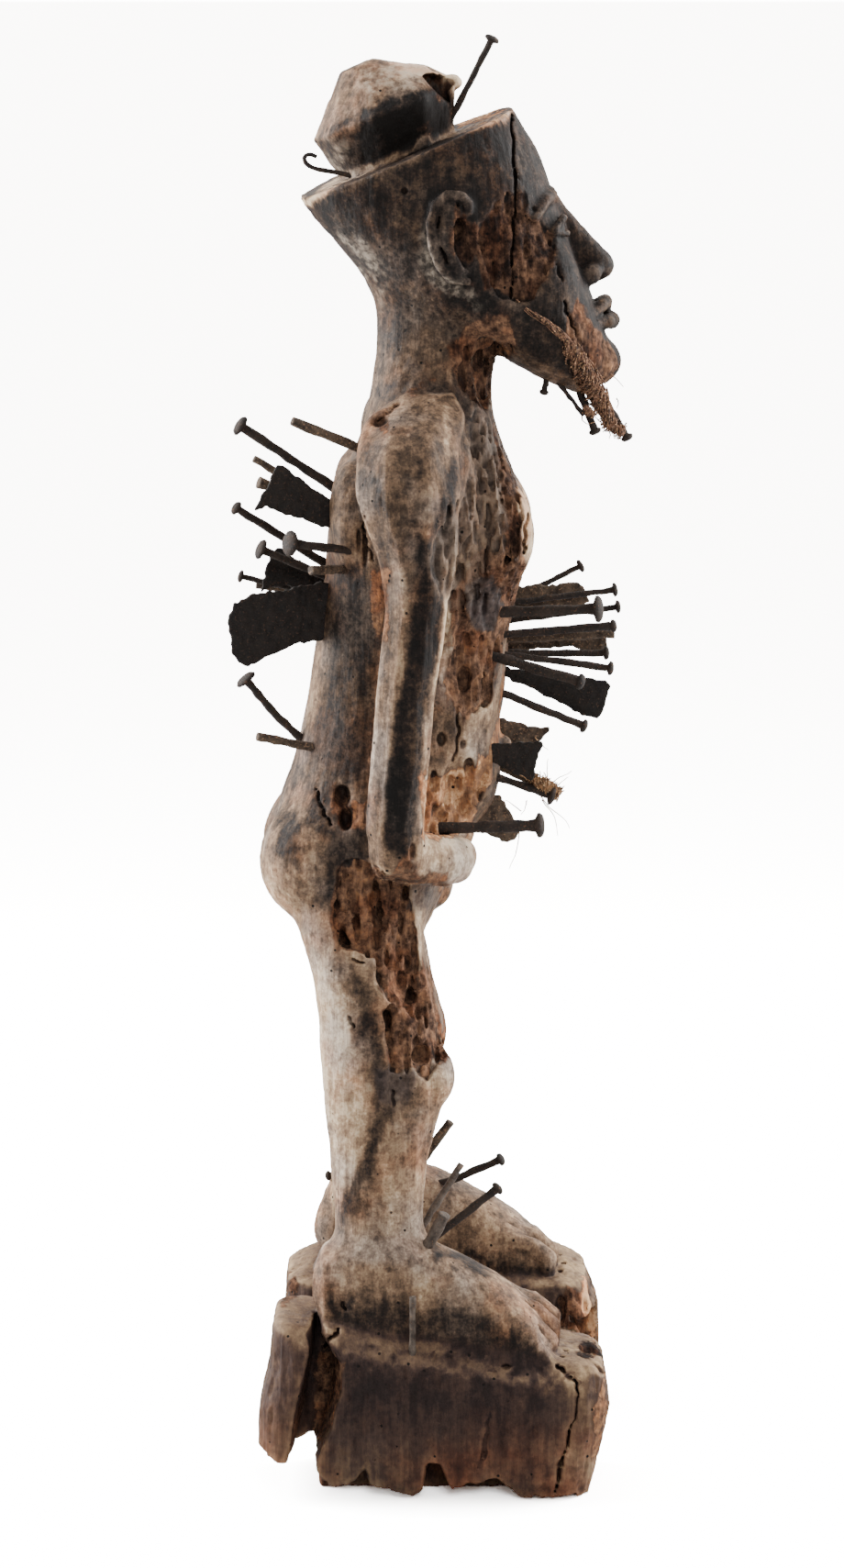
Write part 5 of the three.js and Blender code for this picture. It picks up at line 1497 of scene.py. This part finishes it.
finishes = {
    "iron": iron_finish("forged_iron", "#1D1816", "#3A302A", "#5E4434", 0.4, 0.6, 0.1),
    "rusty_iron": iron_finish("rusted_iron", "#30261F", "#665749", "#8C7059", 0.5, 0.66, 0.05),
    "black_iron": iron_finish("pitted_sheet_iron", "#141110", "#2A2421", "#4A382D", 0.4, 0.6, 0.1),
}
worn_iron = iron_finish("worn_grey_iron", "#39312B", "#6E6258", "#7A5C46", 0.35, 0.5, 0.15)
NAIL_SIDES = 12
NAIL_HAMMERING = 0.9
NAIL_DENT = 4.7619
HOOK_POINTS = 26
grey_names = ["right_block_nail", "right_ankle_rod", "right_ankle_peg"]
grey = swept_piece("grey_iron_driven", [driven_line(name) for name in grey_names], NAIL_SIDES,
                   NAIL_HAMMERING, NAIL_DENT, worn_iron)
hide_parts(*grey_names)
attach(grey, "root")
class_names["rusty_iron"] = [name for name in class_names["rusty_iron"] if name not in grey_names]
hook = [(-46.4, -20, 976), (-68.4, -20, 981), (-81.4, -20, 983), (-88, -20, 984.2), (-93.5, -20, 987.5),
        (-95, -20, 991.5), (-93, -20, 995), (-88.6, -20, 995.6), (-84, -20, 992.5)]
for kind, names in class_names.items():
    lines = [driven_line(name) for name in names if name != "cap_hook"]
    if "cap_hook" in names:
        lines.append((smooth_path(hook, HOOK_POINTS), np.linspace(2.0, 1.5, HOOK_POINTS)))
    driven = swept_piece(kind + "_driven", lines, NAIL_SIDES, NAIL_HAMMERING, NAIL_DENT, finishes[kind])
    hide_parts(*names)
    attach(driven, "root")

# Blades
# Pieces of knife and sheet iron, black and pitted, their edges eaten by rust. Each root sits in a slot
# that was opened for it in the wood.
blade_names = {"rusty_iron": [], "black_iron": []}
for part in frame["record"]["subparts"]:
    if "blade" in part["node"]:
        blade_names[part["material_slot"]].append(part["node"])


def sheet_outline(node):
    """The middle, axes and thickness of a flat solid and the sides of its outline"""
    mesh = nodes[node].data
    corners, same = np.unique(np.round(mesh_points(mesh), 3), axis=0, return_inverse=True)
    mesh.calc_loop_triangles()
    triangles = np.empty(len(mesh.loop_triangles) * 3, np.int64)
    mesh.loop_triangles.foreach_get("vertices", triangles)
    triangles = same.ravel()[triangles].reshape(-1, 3)
    middle = corners.mean(0)
    axes3 = np.linalg.svd(corners - middle, full_matrices=False)[2]
    local = (corners - middle) @ axes3.T
    top = local[:, 2].max()
    sides = {}
    for triangle in triangles:
        if np.all(local[triangle, 2] > top - 0.1):
            for start, end in zip(triangle, np.roll(triangle, -1)):
                key = tuple(sorted((int(start), int(end))))
                sides[key] = sides.get(key, 0) + 1
    outline = [(local[a, :2], local[b, :2]) for (a, b), used in sides.items() if used == 1]
    return middle, axes3, top, outline, local


BLADE_STEP = 0.7
BLADE_FACES = 0.35


def blade_skin(node, seed):
    """The corroded sheet as points and quads in millimetres"""
    middle, axes3, half, outline, local = sheet_outline(node)
    room = 3.0
    low, high = local.min(0) - room, local.max(0) + room
    steps = [np.arange(low[i], high[i], BLADE_STEP) for i in range(3)]
    p, q, r = np.meshgrid(*steps, indexing="ij", sparse=True)
    edge = sides_distance(p, q, outline)
    flat = np.zeros_like(p + q)
    edge = edge + (grain_noise(p + flat, q + flat, flat, (3.2, 3.2, 9), seed) - 0.42) * 2.2
    edge = edge + (grain_noise(p + flat, q + flat, flat, (9, 9, 9), seed + 1) - 0.5) * 2.6
    whole = flat + 0 * r
    skin_noise = grain_noise(p + whole, q + whole, r + whole, (3.5, 3.5, 8), seed + 2)
    face = np.abs(r) - half * 0.95 + (skin_noise - 0.5) * 1.3
    shape = soft_max(edge + whole, face + whole, 0.8).astype(np.float32)
    grid = openvdb.FloatGrid(3.0)
    grid.copyFromArray(shape)
    points, quads = grid.convertToQuads(isovalue=0.0)
    points = points * BLADE_STEP + low
    return points @ axes3 + middle, quads if np.linalg.det(axes3) > 0 else quads[:, ::-1]


for kind, names in blade_names.items():
    all_points = []
    all_quads = []
    first = 0
    for index, name in enumerate(names):
        points, quads = blade_skin(name, 41 + index * 7)
        all_points.append(points)
        all_quads.append(quads + first)
        first += len(points)
    points, quads = np.concatenate(all_points), np.concatenate(all_quads)
    points[:, 0] -= FIGURE_SHIFT
    sheet = skin_mesh(kind + "_blades", points, quads)
    thinned(sheet, BLADE_FACES)
    sheet.data.materials.append(finishes[kind])
    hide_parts(*names)
    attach(sheet, "root")

# Fibre
# Dry plant fibre. A cord lies along the jaw into a beard wound round two nails and a rod, and a second
# wad is wound round the iron in the belly, with loose straws standing out.
random = np.random.default_rng(77)
STRAND_POINTS = 12
CORE_POINTS = 16


def picture_points(pixels, y):
    """Points of the whole object at the depths y behind the pixels of a line"""
    depths = np.broadcast_to(np.asarray(y, float), len(pixels))
    found = [along_sight(u, v, depth) for (u, v), depth in zip(pixels, depths)]
    return np.array([(x + FIGURE_SHIFT, depth, z) for (x, z), depth in zip(found, depths)])


def path_frame(path, share):
    """The point at a share of a path, and two directions square to it"""
    spot = share * (len(path) - 1)
    index = np.minimum(spot.astype(int), len(path) - 2)
    part = (spot - index)[:, None]
    point = path[index] * (1 - part) + path[index + 1] * part
    run = path[index + 1] - path[index]
    run = run / np.linalg.norm(run, axis=1, keepdims=True)
    side = np.cross(run, (0.0, 1.0, 0.0))
    side = side / np.maximum(np.linalg.norm(side, axis=1, keepdims=True), 1e-6)
    return point, side, np.cross(run, side)


def wound(path, number, radius, girth, turns, length, curl):
    """Strands that follow a path and turn round it. They have the radius of the wad along the path, their
    own half width, turns, a length in shares of the path and a curl."""
    path = smooth_path(path, 40)
    made = []
    for _ in range(number):
        reach = length * random.uniform(0.5, 1.2)
        start = random.uniform(-0.1, 1.05 - reach * 0.6)
        share = np.clip(np.linspace(start, start + reach, LINE_POINTS), 0, 1)
        point, side, up = path_frame(path, share)
        wide = np.interp(share, np.linspace(0, 1, len(radius)), radius) * random.uniform(0.75, 1.05)
        angle = random.uniform(0, 2 * np.pi)
        angle = angle + np.linspace(0, 2 * np.pi * turns * random.uniform(0.4, 1.3), LINE_POINTS)
        line = point + side * (np.cos(angle) * wide)[:, None] + up * (np.sin(angle) * wide)[:, None]
        wobble = np.cumsum(random.normal(0, curl, line.shape), axis=0)
        line = smooth_path(line + wobble - wobble.mean(0), STRAND_POINTS)
        made.append((line, np.full(STRAND_POINTS, girth * random.uniform(0.6, 1.3))))
    return made


def straw(points, girth):
    """One loose straw"""
    line = smooth_path(points, STRAND_POINTS)
    line = line + np.cumsum(random.normal(0, 0.25, line.shape), axis=0)
    return line, np.linspace(girth, girth * 0.5, STRAND_POINTS)


def core(path, radius):
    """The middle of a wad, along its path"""
    line = smooth_path(path, CORE_POINTS)
    wide = np.interp(np.linspace(0, 1, CORE_POINTS), np.linspace(0, 1, len(radius)), radius)
    return line, wide * random.uniform(0.88, 1.0, CORE_POINTS)


jaw_line = np.array([(562, 330), (580, 341), (598, 353), (614, 366), (625, 382), (634, 396)], float)
_, jaw_y, _, _, _ = landing(*jaw_line.T)
jaw_y = np.minimum.accumulate(np.clip(jaw_y, -60, -18)[::-1])[::-1]
jaw_cord = picture_points(jaw_line, jaw_y - 1.5)
wad_line = np.array([(618, 374), (628, 390), (638, 408), (648, 428), (660, 448), (668, 464)], float)
_, wad_y, _, on_jaw, _ = landing(*wad_line.T)
free_y = [-30, -26, -20, -14, -12, -11]
wad_y = np.where(on_jaw, np.minimum(wad_y - 2.5, free_y), free_y)
wad = picture_points(wad_line, wad_y)
beard = [core(jaw_cord, [0.8, 1.4, 2.8]), core(wad, [2.4, 4.6, 6.0, 5.4, 4.0, 2.6])]
beard += wound(jaw_cord, 46, [1.6, 2.4, 4.8], 0.45, 0.8, 0.5, 0.35)
beard += wound(wad, 170, [5.0, 8.6, 9.0, 7.8, 6.6, 5.6], 0.5, 1.2, 0.55, 0.8)
straws = [
    ([(646, 398), (664, 404), (681, 420)], -16), ([(640, 396), (652, 400), (660, 412)], -22),
    ([(606, 396), (622, 396), (634, 392)], -26), ([(575, 372), (590, 371), (603, 368)], -36),
    ([(672, 434), (676, 440), (674, 446)], -12), ([(664, 470), (664, 480)], -12),
    ([(668, 470), (670, 479)], -10), ([(656, 462), (650, 456), (644, 452)], -14),
    ([(633, 448), (634, 458), (641, 462), (649, 460)], -24), ([(614, 402), (602, 398), (590, 397)], -28),
    ([(545, 362), (549, 372), (554, 376)], -46), ([(648, 410), (640, 404), (632, 402), (626, 408)], -24),
]
for pixels, y in straws:
    beard.append(straw(picture_points(pixels, y), 0.55))
knot = picture_points([(636, 444), (642, 449), (647, 453)], -25.5)
beard += wound(knot, 26, [3.0, 4.6, 3.0], 0.5, 2.0, 0.8, 0.3)
beard.append(core(knot, [2.0, 3.2, 1.8]))
foot = picture_points([(658, 455), (668, 466), (678, 471)], -11)
beard += wound(foot, 54, [4.6, 6.4, 6.0], 0.5, 2.2, 0.9, 0.5)

lower_line = [(578, 846), (590, 854), (602, 862), (608, 866)]
lower_wad = picture_points(lower_line, [-17, -20, -22, -23])
belly = [core(lower_wad, [3.0, 5.4, 5.6, 4.0])]
belly += wound(lower_wad, 90, [4.8, 7.0, 7.4, 5.8], 0.5, 1.6, 0.8, 0.55)
belly_straws = [
    ([(598, 856), (612, 848), (624, 840)], -22), ([(600, 860), (612, 852), (620, 847)], -18),
    ([(596, 852), (596, 838), (597, 826)], -20), ([(584, 804), (592, 810), (598, 816)], -16),
    ([(590, 868), (600, 882), (616, 893), (622, 904)], -24), ([(590, 872), (604, 888), (608, 910)], -20),
    ([(574, 872), (572, 884), (568, 890)], -18), ([(568, 884), (560, 878), (550, 872)], -18),
    ([(566, 904), (564, 926), (556, 946)], -22), ([(584, 852), (570, 846), (558, 838)], -24),
]
for pixels, y in belly_straws:
    belly.append(straw(picture_points(pixels, y), 0.5))


def fibre_finish(name, dark, middle, pale):
    """Dry plant fibre: dull, with dark gaps and pale ends of straw"""
    finish, tree = new_finish(name)
    place = add_node(tree, "ShaderNodeTexCoord").outputs["Object"]
    lumps, grit = (add_node(tree, "ShaderNodeTexNoise", Vector=place, Scale=METRE / lump, Detail=detail,
                            Roughness=roughness).outputs[0]
                   for lump, detail, roughness in [(4.348, 4.0, 0.6), (1.4286, 2.0, 0.5)])
    lit = share_of(tree, (lumps, 0.4, 0.58))
    bleached = share_of(tree, (grit, 0.55, 0.7))
    colour = stained(tree, linear(dark), ("MIX", lit, linear(middle)), ("MIX", bleached, linear(pale)))
    shader = add_node(tree, "ShaderNodeBsdfPrincipled", Base_Color=colour, Roughness=0.85)
    add_node(tree, "ShaderNodeOutputMaterial", Surface=shader.outputs[0])
    return finish


STRAND_SIDES = 5
STRAND_HAMMERING = 0.3
STRAND_DENT = 2.0
brown_fibre = fibre_finish("dry_bark_fibre", "#2C1A12", "#86604A", "#CDA37A")
straw_fibre = fibre_finish("dry_grass_straw", "#4A2E1C", "#A87E58", "#E2C298")
for name, lines, finish in [("beard_fibre", beard, brown_fibre), ("belly_fibre", belly, straw_fibre)]:
    tuft = swept_piece(name + "_strands", lines, STRAND_SIDES, STRAND_HAMMERING, STRAND_DENT, finish)
    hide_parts(name)
    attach(tuft, "root")

# Studio
# A white backdrop and floor, with soft light from the back and the sides and less from the front, so
# that the figure's outline is rimmed with light as in the photograph.
BACKDROP_STRENGTH = 14.0
PAPER_STRENGTH = 9.0
world = bpy.data.worlds.new("studio")
bpy.context.scene.world = world
world.use_nodes = True
sky = world.node_tree
sky.nodes.clear()
seen = add_node(sky, "ShaderNodeLightPath").outputs["Is Camera Ray"]
toward = add_node(sky, "ShaderNodeSeparateXYZ",
                  Vector=add_node(sky, "ShaderNodeTexCoord").outputs["Generated"]).outputs
from_behind = add_node(sky, "ShaderNodeMapRange", in_0=toward[1], in_1=-0.6, in_2=0.9, in_3=0.3,
                       in_4=2.4).outputs[0]
soft_light = add_node(sky, "ShaderNodeBackground", Color=linear("#FFFBF6"), Strength=from_behind)
plain_white = add_node(sky, "ShaderNodeBackground", Color=(1, 1, 1, 1), Strength=BACKDROP_STRENGTH)
both = add_node(sky, "ShaderNodeMixShader", in_0=seen, in_1=soft_light.outputs[0],
                in_2=plain_white.outputs[0])
add_node(sky, "ShaderNodeOutputWorld", Surface=both.outputs[0])


def soft_box(name, place, aim, width, height, power):
    """A large studio lamp at one place, turned to another"""
    lamp = bpy.data.lights.new(name, "AREA")
    lamp.shape = "RECTANGLE"
    lamp.size, lamp.size_y, lamp.energy = width, height, power
    made = new_object(name, lamp)
    made.location = place
    away = np.array(place) - np.array(aim)
    across = math.hypot(away[0], away[1])
    made.rotation_euler = (math.atan2(across, away[2]), 0, math.atan2(away[0], -away[1]))


soft_box("front", (0.4, -2.4, 1.9), (0, 0, 0.6), 1.2, 1.2, 26.0)
soft_box("left_rim", (-1.7, 0.3, 1.1), (0, 0, 0.45), 0.9, 2.2, 95.0)
soft_box("right_rim", (1.7, 0.4, 1.2), (0, 0, 0.5), 0.9, 2.2, 70.0)

FLOOR_REACH = 80.0
floor_corners = [(x * FLOOR_REACH, y * FLOOR_REACH, 0) for x, y in ((-1, -1), (1, -1), (1, 1), (-1, 1))]
floor_mesh = bpy.data.meshes.new("floor")
floor_mesh.from_pydata(floor_corners, [], [(0, 1, 2, 3)])
floor = new_object("floor", floor_mesh)
paper, tree = new_finish("white_paper")
looked_at = add_node(tree, "ShaderNodeLightPath").outputs["Is Camera Ray"]
dull_paper = add_node(tree, "ShaderNodeBsdfDiffuse", Color=linear("#B8B8B8"))
lit_paper = add_node(tree, "ShaderNodeBsdfDiffuse", Color=[PAPER_STRENGTH] * 3 + [1.0])
mixed = add_node(tree, "ShaderNodeMixShader", in_0=looked_at, in_1=dull_paper.outputs[0],
                 in_2=lit_paper.outputs[0])
add_node(tree, "ShaderNodeOutputMaterial", Surface=mixed.outputs[0])
floor_mesh.materials.append(paper)
